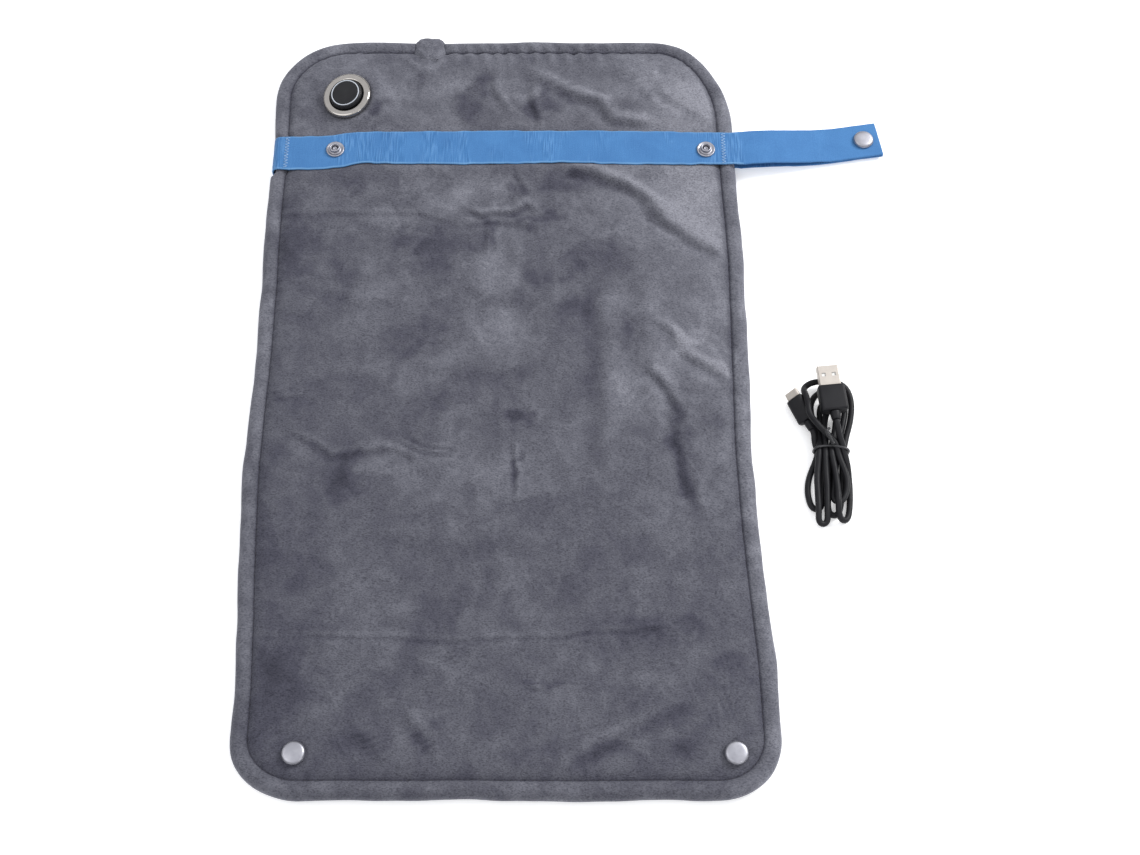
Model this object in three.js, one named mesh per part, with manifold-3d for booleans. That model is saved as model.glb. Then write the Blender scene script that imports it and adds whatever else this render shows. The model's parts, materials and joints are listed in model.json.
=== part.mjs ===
// Small plush heating wrap with an elastic snap belt, a round push-button controller,
// a supply socket at one end and a separate supply cable tied into a hank.
// Millimetres, +Z up. The origin is the middle of the flat back face, +Y points to the
// controller end, +X to the loose end of the belt.
import * as THREE from 'three';
import { mergeVertices } from 'three/addons/utils/BufferGeometryUtils.js';
import Module from 'manifold-3d';

const wasm = await Module();
wasm.setup();

// ---------------------------------------------------------------- driving dimensions
const GAP = 0.3;                 // clearance between touching pieces
const PAD_WIDTH = 286;
const PAD_LENGTH = 482;
const PAD_LEAN = 0.0235;         // the soft outline drifts this far sideways per mm of length
const PAD_TOP = 11.5;            // front face above the back face
const RIM_WIDTH = 10;            // solid sewn rim around the filling
const RIM_ROUND = 3;
const BACK_THICK = 2.5;
const CAVITY_TOP = 8.2;          // underside of the front plush
const CORNER_STEPS = 8;          // segments in each rounded corner
const ROUND_STEPS = 24;          // segments around turned pieces
const DOME_STEPS = 3;            // bands up the side of a domed cap
const CURVE_STEPS = 4;           // segments in each curve of an extruded outline

const FOLD_Y = -52;              // the pad folds in half length here
const FOLD_CUT = 0.5;            // slit between the two panels

const WADDING = [2.8, 5.0];      // layers inside, bottom and top height
const CARRIER = [5.3, 6.0];
const WIRE_DIAMETER = 1.6;
const WIRE_Z = 7.1;
const WIRE_PITCH = 24;
const WIRE_REACH = 118;          // half the length of one heating run

const BELT_WIDTH = 25;
const BELT_THICK = 1.2;
const BELT_Y = 154;
const BELT_LEFT = -146.4;        // outside of the belt where it wraps the left edge
const BELT_NOTCH = -144.3;       // the belt squeezes the pad's left edge back to here
const BELT_RIGHT = 143.2;        // where the loose tail begins
const BELT_FRONT_Z = 11;
const BELT_CHANNEL = 1.5;        // the belt lies in a channel this deep
const BELT_BEND = 3;

const SNAP_RADIUS = 6.25;        // domed caps
const STUD_RADIUS = 5.65;        // studs on the belt
const POST_RADIUS = 1.6;
const STUD_X = [-106.6, 121.7];
const CAP_X = [-103.4, 123.2];
const CAP_Y = -218.3;

const TAIL_START = 143.5;
const TAIL_ANGLE = 9.2;          // degrees, the tail swings towards the controller end
const TAIL_LENGTH = 88.6;
const TAIL_SLOPE_END = 64;       // beyond this the two layers lie flat on each other
const TAIL_CAP_X = 78.6;
const TAIL_TIP_Z = 1.8;

const CONTROL_CENTRE = [-101.9, 193, 16.3];
const CONTROL_NORMAL = [-0.18, -0.1, 0.979];
const BEZEL_RADIUS = 15.5;
const HOUSING_RADIUS = 10.9;
const HOUSING_BORE = 9.7;
const BUTTON_RADIUS = 10.8;
const COLLAR_RADIUS = 17.5;      // plush raised around the controller
const WEB_TOP = -3.3;            // plush web held between bezel and clamp washer
const WEB_BOTTOM = -4.4;

const INLET_X = -51.6;
const INLET_Z = 7.7;
const SLEEVE = { width: 19.4, height: 9.2, back: 223, front: 243 };
const SLEEVE_HOLE = { width: 14.6, height: 5.9 };
const SOCKET = { width: 13.6, height: 5.2, back: 224.5, front: 237 };
const SOCKET_SHELL = { width: 9, height: 3.3, wall: 0.4, length: 7 };

const HANK_TIE = [185.2, -47];   // middle of the tied waist
const HANK_TILT = -3.5;          // degrees
const HANK_HEIGHT = 10.5;
const TIE_DIAMETER = 1.6;
const USB = { x: 188, y: -30.9, turn: 5.7, z: HANK_HEIGHT + GAP + 3.8 };
const USB_RELIEF = 4.6;
const USB_BODY = { width: 15.3, height: 7.6, length: 16 };
const USB_SHELL = { width: 12, height: 4.5, wall: 0.4, length: 12 };
const PLUG = { x: 175.3, y: -33, turn: 24, roll: -40, z: 5.9 };
const PLUG_RELIEF = 5.4;
const PLUG_BODY = { width: 10.4, height: 6.2, length: 15.6 };
const PLUG_SHELL = { width: 8.3, height: 2.5, length: 4.5 };

const PANELS = {
  upper: { side: 1, end: PAD_LENGTH / 2, fold: FOLD_Y + FOLD_CUT / 2, left: [48, 46], right: [45, 62] },
  lower: { side: -1, end: -PAD_LENGTH / 2, fold: FOLD_Y - FOLD_CUT / 2, left: [36, 32], right: [34, 32] },
};

// ---------------------------------------------------------------- materials
const finish = (color, roughness, metalness = 0) =>
  () => new THREE.MeshStandardMaterial({ color, roughness, metalness });
const plush = finish(0x6b6c76, 1);
const fibre = finish(0xe6e4dd, 1);
const felt = finish(0x3a3b40, 1);
const silicone = finish(0x8f1f1c, 0.5);
const elastic = finish(0x4a86c4, 0.85);
const nickel = finish(0xa9aab0, 0.35, 1);
const blackPlastic = finish(0x1b1b1e, 0.5);
const lens = finish(0xd9dadd, 0.35);
const board = finish(0x1e5a35, 0.6);
const cordRubber = finish(0x1c1c1f, 0.55);
const paleNickel = finish(0xcfc8c0, 0.3, 1);
const whitePlastic = finish(0xe8e8e6, 0.45);

// ---------------------------------------------------------------- helpers
const group = new THREE.Group();

function addMesh(parent, name, geometry, material) {
  const mesh = new THREE.Mesh(geometry, material());
  mesh.name = name;
  parent.add(mesh);
}

function addGroup([x, y, z]) {
  const child = new THREE.Group();
  child.position.set(x, y, z);
  group.add(child);
  return child;
}

function toSolid(geometry) {
  const bare = geometry.clone();
  bare.deleteAttribute('normal');
  bare.deleteAttribute('uv');
  const merged = mergeVertices(bare, 1e-4);
  return new wasm.Manifold(new wasm.Mesh({
    numProp: 3,
    vertProperties: new Float32Array(merged.attributes.position.array),
    triVerts: new Uint32Array(merged.index.array),
  }));
}

function toGeometry(solid) {
  const mesh = solid.getMesh();
  const geometry = new THREE.BufferGeometry();
  geometry.setAttribute('position', new THREE.BufferAttribute(mesh.vertProperties, mesh.numProp));
  geometry.setIndex(new THREE.BufferAttribute(mesh.triVerts, 1));
  geometry.computeVertexNormals();
  return geometry;
}

// body with every cutter taken out of it
function cut(body, ...cutters) {
  return toGeometry(cutters.reduce((solid, cutter) => solid.subtract(toSolid(cutter)), toSolid(body)));
}

// flat plate from a shape in plan, between two heights
function plate(shape, bottom, top) {
  const geometry = new THREE.ExtrudeGeometry(shape, {
    depth: top - bottom,
    bevelEnabled: false,
    curveSegments: 2 * CURVE_STEPS,
  });
  return geometry.translate(0, 0, bottom);
}

// the same with rounded edges top and bottom
function roundedPlate(shape, bottom, top, round) {
  const geometry = new THREE.ExtrudeGeometry(shape, {
    depth: top - bottom - 2 * round,
    bevelThickness: round,
    bevelSize: round,
    bevelOffset: -round,
    bevelSegments: 2,
    curveSegments: 2 * CURVE_STEPS,
  });
  return geometry.translate(0, 0, bottom + round);
}

// turned piece about Z from [radius, height] pairs
function turned(profile) {
  const points = profile.map(([radius, height]) => new THREE.Vector2(radius, height));
  return new THREE.LatheGeometry(points, ROUND_STEPS).rotateX(Math.PI / 2);
}

function ring(inner, outer, bottom, top) {
  return turned([[inner, bottom], [outer, bottom], [outer, top], [inner, top], [inner, bottom]]);
}

function disc(radius, bottom, top) {
  return turned([[0, bottom], [radius, bottom], [radius, top], [0, top]]);
}

function block(width, length, height, x, y, z) {
  return new THREE.BoxGeometry(width, length, height).translate(x, y, z);
}

function roundedRectangle(width, height, radius) {
  const x = width / 2;
  const y = height / 2;
  const shape = new THREE.Shape();
  shape.absarc(x - radius, y - radius, radius, 0, Math.PI / 2);
  shape.absarc(radius - x, y - radius, radius, Math.PI / 2, Math.PI);
  shape.absarc(radius - x, radius - y, radius, Math.PI, Math.PI * 1.5);
  shape.absarc(x - radius, radius - y, radius, Math.PI * 1.5, Math.PI * 2);
  return shape;
}

// bar with a rounded rectangular section that runs along +Y from start to end
function bar(width, height, radius, start, end, round = 0) {
  const shape = roundedRectangle(width, height, radius);
  const geometry = new THREE.ExtrudeGeometry(shape, {
    depth: end - start - 2 * round,
    bevelEnabled: round > 0,
    bevelThickness: round,
    bevelSize: round,
    bevelOffset: -round,
    bevelSegments: 1,
    curveSegments: CURVE_STEPS,
  });
  return geometry.translate(0, 0, round).rotateX(-Math.PI / 2).translate(0, start, 0);
}

// a route through listed points, one tube ring at each point
class Route extends THREE.Curve {
  constructor(points) {
    super();
    this.points = points.map((point) => new THREE.Vector3(...point));
  }

  getPointAt(u) {
    const last = this.points.length - 1;
    const index = Math.min(Math.floor(u * last + 1e-6), last - 1);
    return this.points[index].clone().lerp(this.points[index + 1], u * last - index);
  }

  getTangentAt(u) {
    const last = this.points.length - 1;
    const index = Math.round(u * last);
    const ahead = this.points[Math.min(index + 1, last)];
    const behind = this.points[Math.max(index - 1, 0)];
    return ahead.clone().sub(behind).normalize();
  }
}

function tube(points, diameter, sides) {
  const section = new THREE.Shape();
  for (let side = 0; side < sides; side += 1) {
    const angle = (side / sides) * Math.PI * 2;
    const [x, y] = [Math.cos(angle) * diameter / 2, Math.sin(angle) * diameter / 2];
    if (side === 0) section.moveTo(x, y);
    else section.lineTo(x, y);
  }
  return new THREE.ExtrudeGeometry(section, { steps: points.length - 1, extrudePath: new Route(points) });
}

// ---------------------------------------------------------------- pad layers
// plan outline of one panel, moved in by inset and past the fold by overrun
function panelShape(panel, inset = 0, overrun = 0) {
  const half = PAD_WIDTH / 2 - inset;
  const end = panel.end - panel.side * inset;
  const fold = panel.fold - panel.side * overrun;
  const points = [[-half, fold]];
  for (const [sign, corner] of [[-1, panel.left], [1, panel.right]]) {
    const [reachX, reachY] = [corner[0] - inset, corner[1] - inset];
    for (let step = 0; step <= CORNER_STEPS; step += 1) {
      const part = sign < 0 ? step : CORNER_STEPS - step;
      const angle = (part / CORNER_STEPS) * Math.PI / 2;
      const x = sign * (half - reachX + reachX * Math.cos(angle));
      points.push([x, end - panel.side * reachY * (1 - Math.sin(angle))]);
    }
  }
  points.push([half, fold]);
  return new THREE.Shape(points.map(([x, y]) => new THREE.Vector2(x - PAD_LEAN * y, y)));
}

function addHoles(shape, holes) {
  for (const [x, y, radius] of holes) {
    const hole = new THREE.Path();
    hole.absarc(x, y, radius, 0, Math.PI * 2);
    shape.holes.push(hole);
  }
  return shape;
}

const postHoles = CAP_X.map((x) => [x, CAP_Y, POST_RADIUS + 2 * GAP]);
const controlWell = [[CONTROL_CENTRE[0] + 2, CONTROL_CENTRE[1] + 1.1, 19.5]];

function beltChannel(bottom, top) {
  return block(2 * PAD_WIDTH, BELT_WIDTH + 2 * GAP, top - bottom, 0, BELT_Y, (bottom + top) / 2);
}

function edgeNotch() {
  const width = 40;
  return block(width, BELT_WIDTH + 2 * GAP, 4 * PAD_TOP, BELT_NOTCH - width / 2, BELT_Y, 0);
}

function controlPlaced(geometry) {
  const normal = new THREE.Vector3(...CONTROL_NORMAL).normalize();
  const turn = new THREE.Quaternion().setFromUnitVectors(new THREE.Vector3(0, 0, 1), normal);
  return geometry.applyQuaternion(turn).translate(...CONTROL_CENTRE);
}

function frontCover(panel, pieces) {
  const rimTop = roundedPlate(panelShape(panel), -PAD_TOP, PAD_TOP, RIM_ROUND);
  const below = block(2 * PAD_WIDTH, 2 * PAD_LENGTH, 2 * PAD_TOP, 0, 0, BACK_THICK + GAP - PAD_TOP);
  const cavity = plate(panelShape(panel, RIM_WIDTH, 1), 0, CAVITY_TOP);
  let solid = toSolid(rimTop).subtract(toSolid(below)).subtract(toSolid(cavity));
  for (const piece of pieces.added) solid = solid.add(toSolid(piece));
  for (const piece of pieces.removed) solid = solid.subtract(toSolid(piece));
  return toGeometry(solid);
}

function frontCoverUpper() {
  const collarFloor = block(60, 60, 60, CONTROL_CENTRE[0], CONTROL_CENTRE[1], 5 - 30);
  const collar = cut(controlPlaced(disc(COLLAR_RADIUS, -18, WEB_TOP)), collarFloor);
  const sleeveNotch = block(
    SLEEVE.width + 2 * GAP, 40, 2 * PAD_TOP, INLET_X, SLEEVE.back - GAP + 20, PAD_TOP + GAP,
  );
  return frontCover(PANELS.upper, {
    added: [collar],
    removed: [
      controlPlaced(disc(COLLAR_RADIUS - 2.5, -22, WEB_BOTTOM)),
      controlPlaced(disc(BEZEL_RADIUS + GAP, WEB_TOP, 15)),
      controlPlaced(disc(HOUSING_RADIUS + GAP, -22, 15)),
      block(14, 16, 3.4, -82, 196, 6.5),
      block(8, 14, 3.4, -96, 175, 6.5),
      beltChannel(PAD_TOP - BELT_CHANNEL, PAD_TOP + 1),
      edgeNotch(),
      sleeveNotch,
    ],
  });
}

function frontCoverLower() {
  const removed = CAP_X.map((x) => disc(POST_RADIUS + 2 * GAP, 0, PAD_TOP + 1).translate(x, CAP_Y, 0));
  return frontCover(PANELS.lower, { added: [], removed });
}

function backCoverUpper() {
  const panel = roundedPlate(panelShape(PANELS.upper), 0, BACK_THICK, 1);
  return cut(panel, beltChannel(-1, BELT_CHANNEL), edgeNotch());
}

function backCoverLower() {
  const recesses = CAP_X.flatMap((x) => [
    disc(SNAP_RADIUS + GAP, -1, 1.7).translate(x, CAP_Y, 0),
    disc(POST_RADIUS + 2 * GAP, -1, BACK_THICK + 1).translate(x, CAP_Y, 0),
  ]);
  return cut(roundedPlate(panelShape(PANELS.lower), 0, BACK_THICK, 1), ...recesses);
}

function layer(panel, [bottom, top], holes) {
  return plate(addHoles(panelShape(panel, RIM_WIDTH + GAP), holes), bottom, top);
}

function addPadLayers() {
  addMesh(group, 'front_cover_upper', frontCoverUpper(), plush);
  addMesh(group, 'front_cover_lower', frontCoverLower(), plush);
  addMesh(group, 'back_cover_upper', backCoverUpper(), plush);
  addMesh(group, 'back_cover_lower', backCoverLower(), plush);
  const waddingUpper = cut(layer(PANELS.upper, WADDING, controlWell), sleeveWell());
  const carrierUpper = cut(layer(PANELS.upper, CARRIER, controlWell), sleeveWell());
  addMesh(group, 'wadding_upper', waddingUpper, fibre);
  addMesh(group, 'wadding_lower', layer(PANELS.lower, WADDING, postHoles), fibre);
  addMesh(group, 'heater_carrier_upper', carrierUpper, felt);
  addMesh(group, 'heater_carrier_lower', layer(PANELS.lower, CARRIER, postHoles), felt);
}

// room for the supply socket in the inner layers
function sleeveWell() {
  return block(SLEEVE.width + 2 * GAP, 40, 10, INLET_X, SLEEVE.back - GAP + 20, 5);
}

// ---------------------------------------------------------------- heating element
// runs across the pad joined by half circles, from firstY in steps of the pitch
function heatingRoute(firstY, runs, side) {
  const radius = WIRE_PITCH / 2;
  const points = [];
  for (let run = 0; run < runs; run += 1) {
    const y = firstY + side * run * WIRE_PITCH;
    const sign = run % 2 === 0 ? 1 : -1;
    const shift = -PAD_LEAN * y;
    points.push([shift - sign * (WIRE_REACH - radius), y, WIRE_Z]);
    points.push([shift, y, WIRE_Z]);
    if (run === runs - 1) {
      points.push([shift + sign * (WIRE_REACH - radius), y, WIRE_Z]);
      break;
    }
    for (let step = 0; step < 6; step += 1) {
      const angle = (step / 6) * Math.PI;
      const x = shift + sign * (WIRE_REACH - radius + radius * Math.sin(angle));
      points.push([x, y + side * radius * (1 - Math.cos(angle)), WIRE_Z]);
    }
  }
  return points;
}

function addHeating() {
  const upper = heatingRoute(FOLD_Y + WIRE_PITCH / 2, 8, 1);
  const lower = heatingRoute(FOLD_Y - WIRE_PITCH / 2, 7, -1);
  addMesh(group, 'heating_wire_upper', tube(upper, WIRE_DIAMETER, 6), silicone);
  addMesh(group, 'heating_wire_lower', tube(lower, WIRE_DIAMETER, 6), silicone);
  const lead = [
    [-93, 187, WIRE_Z], [-94, 181, WIRE_Z], [-96, 174, WIRE_Z], [-98, 166, WIRE_Z], [-99, 158, WIRE_Z],
    [-99, 151.6, WIRE_Z],
  ];
  addMesh(group, 'heater_lead', tube(lead, WIRE_DIAMETER, 6), silicone);
  addMesh(group, 'thermal_cutout', block(4, 10, 1.6, -99, 146.2, WIRE_Z), whitePlastic);
  const supply = [
    [INLET_X, SOCKET.back - GAP, INLET_Z - 0.4], [INLET_X, 218, WIRE_Z], [-54, 211, WIRE_Z],
    [-63, 204, WIRE_Z], [-75, 199, WIRE_Z], [-92, 196, WIRE_Z],
  ];
  addMesh(group, 'inlet_lead', tube(supply, WIRE_DIAMETER, 6), cordRubber);
}

// ---------------------------------------------------------------- elastic belt
function beltBody() {
  const [front, back] = [BELT_FRONT_Z, BELT_THICK];
  const inside = BELT_LEFT + BELT_THICK;
  const bend = BELT_BEND;
  const section = new THREE.Shape();
  section.moveTo(BELT_RIGHT, 0);
  section.lineTo(BELT_RIGHT, back);
  section.lineTo(inside + 1, back);
  section.lineTo(inside, back + 1);
  section.lineTo(inside, front - bend + BELT_THICK);
  section.lineTo(inside + 1, front);
  section.lineTo(BELT_RIGHT, front);
  section.lineTo(BELT_RIGHT, front + BELT_THICK);
  section.absarc(BELT_LEFT + bend, front + BELT_THICK - bend, bend, Math.PI / 2, Math.PI);
  section.absarc(BELT_LEFT + bend, bend, bend, Math.PI, Math.PI * 1.5);
  const geometry = new THREE.ExtrudeGeometry(section, {
    depth: BELT_WIDTH,
    bevelEnabled: false,
    curveSegments: CURVE_STEPS,
  });
  return geometry.rotateX(Math.PI / 2).translate(0, BELT_Y + BELT_WIDTH / 2, 0);
}

function addBelt() {
  const hole = disc(POST_RADIUS + GAP, BELT_FRONT_Z - 1, PAD_TOP + 2);
  const holes = STUD_X.map((x) => hole.clone().translate(x, BELT_Y, 0));
  addMesh(group, 'elastic_band', cut(beltBody(), ...holes), elastic);
  STUD_X.forEach((x, index) => {
    const side = ['left', 'right'][index];
    const place = addGroup([x, BELT_Y, BELT_FRONT_Z]);
    const stud = turned([
      [POST_RADIUS + GAP, 1.5], [STUD_RADIUS - 0.4, 1.5], [STUD_RADIUS, 1.9], [STUD_RADIUS - 0.4, 2.4],
      [3.6, 2.1], [2.9, 2.6], [3.2, 3.9], [2.8, 4.4], [2.2, 4.2], [POST_RADIUS + GAP, 3.6],
      [POST_RADIUS + GAP, 1.5],
    ]);
    const eyelet = turned([
      [0, -0.7], [4.5, -0.7], [4.5, -GAP], [POST_RADIUS, -GAP], [POST_RADIUS, 3.2], [0, 3.5],
    ]);
    addMesh(place, `band_stud_${side}`, stud, nickel);
    addMesh(place, `band_eyelet_${side}`, eyelet, nickel);
  });
}

// ---------------------------------------------------------------- snap caps
// domed cap on a post that goes down to depth below the cap's seat
function snapCap(depth) {
  const points = [[0, -depth], [POST_RADIUS, -depth], [POST_RADIUS, 0], [SNAP_RADIUS - 0.3, 0]];
  for (let step = 0; step <= DOME_STEPS; step += 1) {
    const angle = (step / DOME_STEPS) * Math.PI / 2;
    points.push([SNAP_RADIUS * Math.cos(angle), 0.5 + 2 * Math.sin(angle)]);
  }
  points[points.length - 1][0] = 0;
  return turned(points);
}

function snapSocket() {
  return ring(POST_RADIUS + GAP, SNAP_RADIUS - 0.3, 0, 1.3);
}

function addCornerSnaps() {
  CAP_X.forEach((x, index) => {
    const side = ['left', 'right'][index];
    const place = addGroup([x, CAP_Y, PAD_TOP + GAP]);
    addMesh(place, `corner_cap_${side}`, snapCap(PAD_TOP - 0.6), nickel);
    addMesh(addGroup([x, CAP_Y, 0.1]), `corner_socket_${side}`, snapSocket(), nickel);
  });
}

// ---------------------------------------------------------------- loose tail of the belt
// ribbon that starts at startZ, eases to endZ at the flat part and stays there
function ribbon(startZ, endZ, length) {
  const lower = [];
  const steps = 10;
  for (let step = 0; step <= steps; step += 1) {
    const part = step / steps;
    const ease = part * part * (3 - 2 * part);
    lower.push([2.3 + part * (TAIL_SLOPE_END - 2.3), startZ + (endZ - startZ) * ease]);
  }
  lower.push([length, endZ]);
  const upper = lower.map(([x, z]) => [x, z + BELT_THICK]).reverse();
  const section = new THREE.Shape([...lower, ...upper].map(([x, z]) => new THREE.Vector2(x, z)));
  const geometry = new THREE.ExtrudeGeometry(section, { depth: BELT_WIDTH, bevelEnabled: false });
  return geometry.rotateX(Math.PI / 2).translate(0, BELT_WIDTH / 2, 0);
}

function addTail() {
  const place = addGroup([TAIL_START, BELT_Y, 0]);
  place.rotation.z = THREE.MathUtils.degToRad(TAIL_ANGLE);
  const frontZ = TAIL_TIP_Z + BELT_THICK + GAP;
  const hole = disc(POST_RADIUS + GAP, 0, PAD_TOP).translate(TAIL_CAP_X, 0, 0);
  addMesh(place, 'tail_front_layer', cut(ribbon(BELT_FRONT_Z, frontZ, TAIL_LENGTH), hole), elastic);
  addMesh(place, 'tail_back_layer', cut(ribbon(0, TAIL_TIP_Z, TAIL_LENGTH), hole), elastic);
  const seat = frontZ + BELT_THICK + GAP;
  addMesh(place, 'tail_cap', snapCap(seat - 0.6).translate(TAIL_CAP_X, 0, seat), nickel);
  addMesh(place, 'tail_socket', snapSocket().translate(TAIL_CAP_X, 0, 0.1), nickel);
}

// ---------------------------------------------------------------- controller
function addController() {
  const place = addGroup(CONTROL_CENTRE);
  const normal = new THREE.Vector3(...CONTROL_NORMAL).normalize();
  place.quaternion.setFromUnitVectors(new THREE.Vector3(0, 0, 1), normal);
  const inner = HOUSING_RADIUS + GAP;
  const bezel = turned([
    [inner, -3], [BEZEL_RADIUS - 0.5, -3], [BEZEL_RADIUS, -2.4], [BEZEL_RADIUS, -1.3],
    [BEZEL_RADIUS - 0.7, -0.4], [BEZEL_RADIUS - 1.8, 0], [inner + 0.8, 0], [inner, -0.6], [inner, -3],
  ]);
  addMesh(place, 'bezel_ring', bezel, nickel);
  addMesh(place, 'clamp_washer', ring(inner, 14.7, -5.6, -4.7), nickel);
  addMesh(place, 'controller_housing', ring(HOUSING_BORE, HOUSING_RADIUS, -7.9, -1.9), blackPlastic);
  const leadHole = disc(2.4, -10, -7).translate(6, 0, 0);
  addMesh(place, 'housing_cover', cut(disc(HOUSING_RADIUS, -9, -8.2), leadHole), blackPlastic);
  addMesh(place, 'circuit_board', disc(HOUSING_BORE - GAP, -7.6, -6.6), board);
  addMesh(place, 'tact_switch', block(6, 6, 1.1, 0, 0, -5.75), blackPlastic);
  const cap = turned([
    [0, -4.3], [2.4, -4.3], [2.4, -0.1], [7.8, -0.1], [7.8, -5.5], [HOUSING_BORE - GAP, -5.5],
    [HOUSING_BORE - GAP, -0.8], [BUTTON_RADIUS, -0.8], [BUTTON_RADIUS, 0.6], [BUTTON_RADIUS - 0.6, 1.7],
    [9.25, 2.3], [9.25, 1.4], [7.65, 1.4], [7.65, 2.4], [0, 2.5],
  ]);
  addMesh(place, 'button_cap', cap, blackPlastic);
  addMesh(place, 'light_ring', ring(7.95, 8.95, 1.7, 2.4), lens);
}

// ---------------------------------------------------------------- supply socket
function addInlet() {
  const place = addGroup([INLET_X, 0, INLET_Z]);
  const sleeve = cut(
    bar(SLEEVE.width, SLEEVE.height, 2, SLEEVE.back, SLEEVE.front, 1),
    bar(SLEEVE_HOLE.width, SLEEVE_HOLE.height, 1, SLEEVE.back - 1, SLEEVE.front + 1),
  );
  addMesh(place, 'inlet_sleeve', sleeve, plush);
  const shell = SOCKET_SHELL;
  const shellBack = SOCKET.front - shell.length;
  const pocket = bar(
    shell.width + 2 * GAP, shell.height + 2 * GAP, shell.height / 2, shellBack - GAP, SOCKET.front + 1,
  );
  const housing = cut(
    bar(SOCKET.width, SOCKET.height, 1, SOCKET.back, SOCKET.front, 0.4),
    pocket,
    bar(2.4, 2.4, 1, SOCKET.back - 1, shellBack),
  );
  addMesh(place, 'inlet_housing', housing, blackPlastic);
  const inside = bar(
    shell.width - 2 * shell.wall, shell.height - 2 * shell.wall, shell.height / 2 - shell.wall - 0.05,
    shellBack + shell.wall, SOCKET.front + 1,
  );
  const can = bar(shell.width, shell.height, shell.height / 2 - 0.05, shellBack, SOCKET.front);
  addMesh(place, 'inlet_shell', cut(can, inside), paleNickel);
  const tongueStart = shellBack + shell.wall + GAP;
  addMesh(place, 'inlet_tongue', bar(6.6, 0.7, 0.2, tongueStart, SOCKET.front - 0.8), blackPlastic);
}

// ---------------------------------------------------------------- supply cable
// hourglass outline of the tied hank, waist at the origin, right side up and left side down
function hankShape() {
  const knots = [[0, -44], [12.8, -26], [9.4, 0], [15.8, 29], [0, 47]];
  const controls = [[10, -44, 13.4, -34], [12, -15, 9.4, -9], [9.4, 10, 15.8, 15], [15.8, 41, 8, 47]];
  const shape = new THREE.Shape();
  shape.moveTo(...knots[0]);
  controls.forEach((pair, index) => shape.bezierCurveTo(...pair, ...knots[index + 1]));
  for (let index = controls.length - 1; index >= 0; index -= 1) {
    const [ax, ay, bx, by] = controls[index];
    const [x, y] = knots[index];
    shape.bezierCurveTo(-bx, by, -ax, ay, -x, y);
  }
  return shape;
}

function placedPlug(parent, { x, y, z, turn, roll = 0 }) {
  const place = new THREE.Group();
  place.position.set(x, y, z);
  place.rotation.set(0, THREE.MathUtils.degToRad(roll), THREE.MathUtils.degToRad(turn), 'ZYX');
  parent.add(place);
  place.updateMatrixWorld(true);
  return place;
}

function strainRelief(length, startRadius, endRadius) {
  const profile = [[0, 0], [startRadius, 0], [endRadius, length], [0, length]];
  return turned(profile).rotateX(-Math.PI / 2);
}

function addCable() {
  const plug = placedPlug(group, PLUG);
  const plugBody = bar(
    PLUG_BODY.width, PLUG_BODY.height, 2.4, PLUG_RELIEF + GAP, PLUG_RELIEF + GAP + PLUG_BODY.length, 0.6,
  );
  const plugFront = PLUG_RELIEF + 2 * GAP + PLUG_BODY.length;
  addMesh(plug, 'device_plug_strain_relief', strainRelief(PLUG_RELIEF, 2.1, 2.6), cordRubber);
  addMesh(plug, 'device_plug_overmold', plugBody, cordRubber);
  const plugEnd = plugFront + PLUG_SHELL.length;
  const shell = bar(PLUG_SHELL.width, PLUG_SHELL.height, 1.2, plugFront, plugEnd, 0.2);
  const mouth = bar(PLUG_SHELL.width - 0.8, PLUG_SHELL.height - 0.8, 0.8, plugFront + 0.6, plugEnd + 1);
  addMesh(plug, 'device_plug_shell', cut(shell, mouth), paleNickel);

  // the hank lies flat with a groove for the tie and room for the small plug beside it
  const hankPlace = addGroup([HANK_TIE[0], HANK_TIE[1], 0]);
  hankPlace.rotation.z = THREE.MathUtils.degToRad(HANK_TILT);
  hankPlace.updateMatrixWorld(true);
  const hank = roundedPlate(hankShape(), 0, HANK_HEIGHT, 1.5);
  const groove = cut(
    block(40, 3, 30, 0, 0, 5),
    bar(17, 6.8, 2, -2, 2).translate(0, 0, HANK_HEIGHT / 2),
  );
  const plugRoom = block(11.6, 60, 40, 0, 30 - GAP, 0);
  plugRoom.applyMatrix4(new THREE.Matrix4().makeRotationZ(THREE.MathUtils.degToRad(PLUG.turn)));
  plugRoom.translate(PLUG.x, PLUG.y, 0);
  plugRoom.applyMatrix4(hankPlace.matrixWorld.clone().invert());
  addMesh(hankPlace, 'cable_hank', cut(hank, groove, plugRoom), cordRubber);
  addMesh(hankPlace, 'twist_tie', tieLoop(), blackPlastic);

  const usb = placedPlug(group, USB);
  const bodyStart = USB_RELIEF + GAP;
  const shellStart = bodyStart + USB_BODY.length + GAP;
  const shellEnd = shellStart + USB_SHELL.length;
  addMesh(usb, 'usb_a_strain_relief', strainRelief(USB_RELIEF, 2.5, 3.2), cordRubber);
  addMesh(usb, 'usb_a_overmold', bar(
    USB_BODY.width, USB_BODY.height, 1.6, bodyStart, bodyStart + USB_BODY.length, 0.8,
  ), cordRubber);
  const { width, height, wall } = USB_SHELL;
  const windows = [-1, 1].map((sign) => block(2.2, 2.2, 4, sign * 2.9, shellStart + 6.4, height / 2));
  const can = cut(
    bar(width, height, 0.5, shellStart, shellEnd),
    bar(width - 2 * wall, height - 2 * wall, 0.2, shellStart + wall, shellEnd + 1),
    ...windows,
  );
  addMesh(usb, 'usb_a_shell', can, paleNickel);
  const tongue = block(10.4, 10, 1.7, 0, shellStart + wall + GAP + 5, -0.75);
  addMesh(usb, 'usb_a_tongue', tongue, whitePlastic);
}

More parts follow.
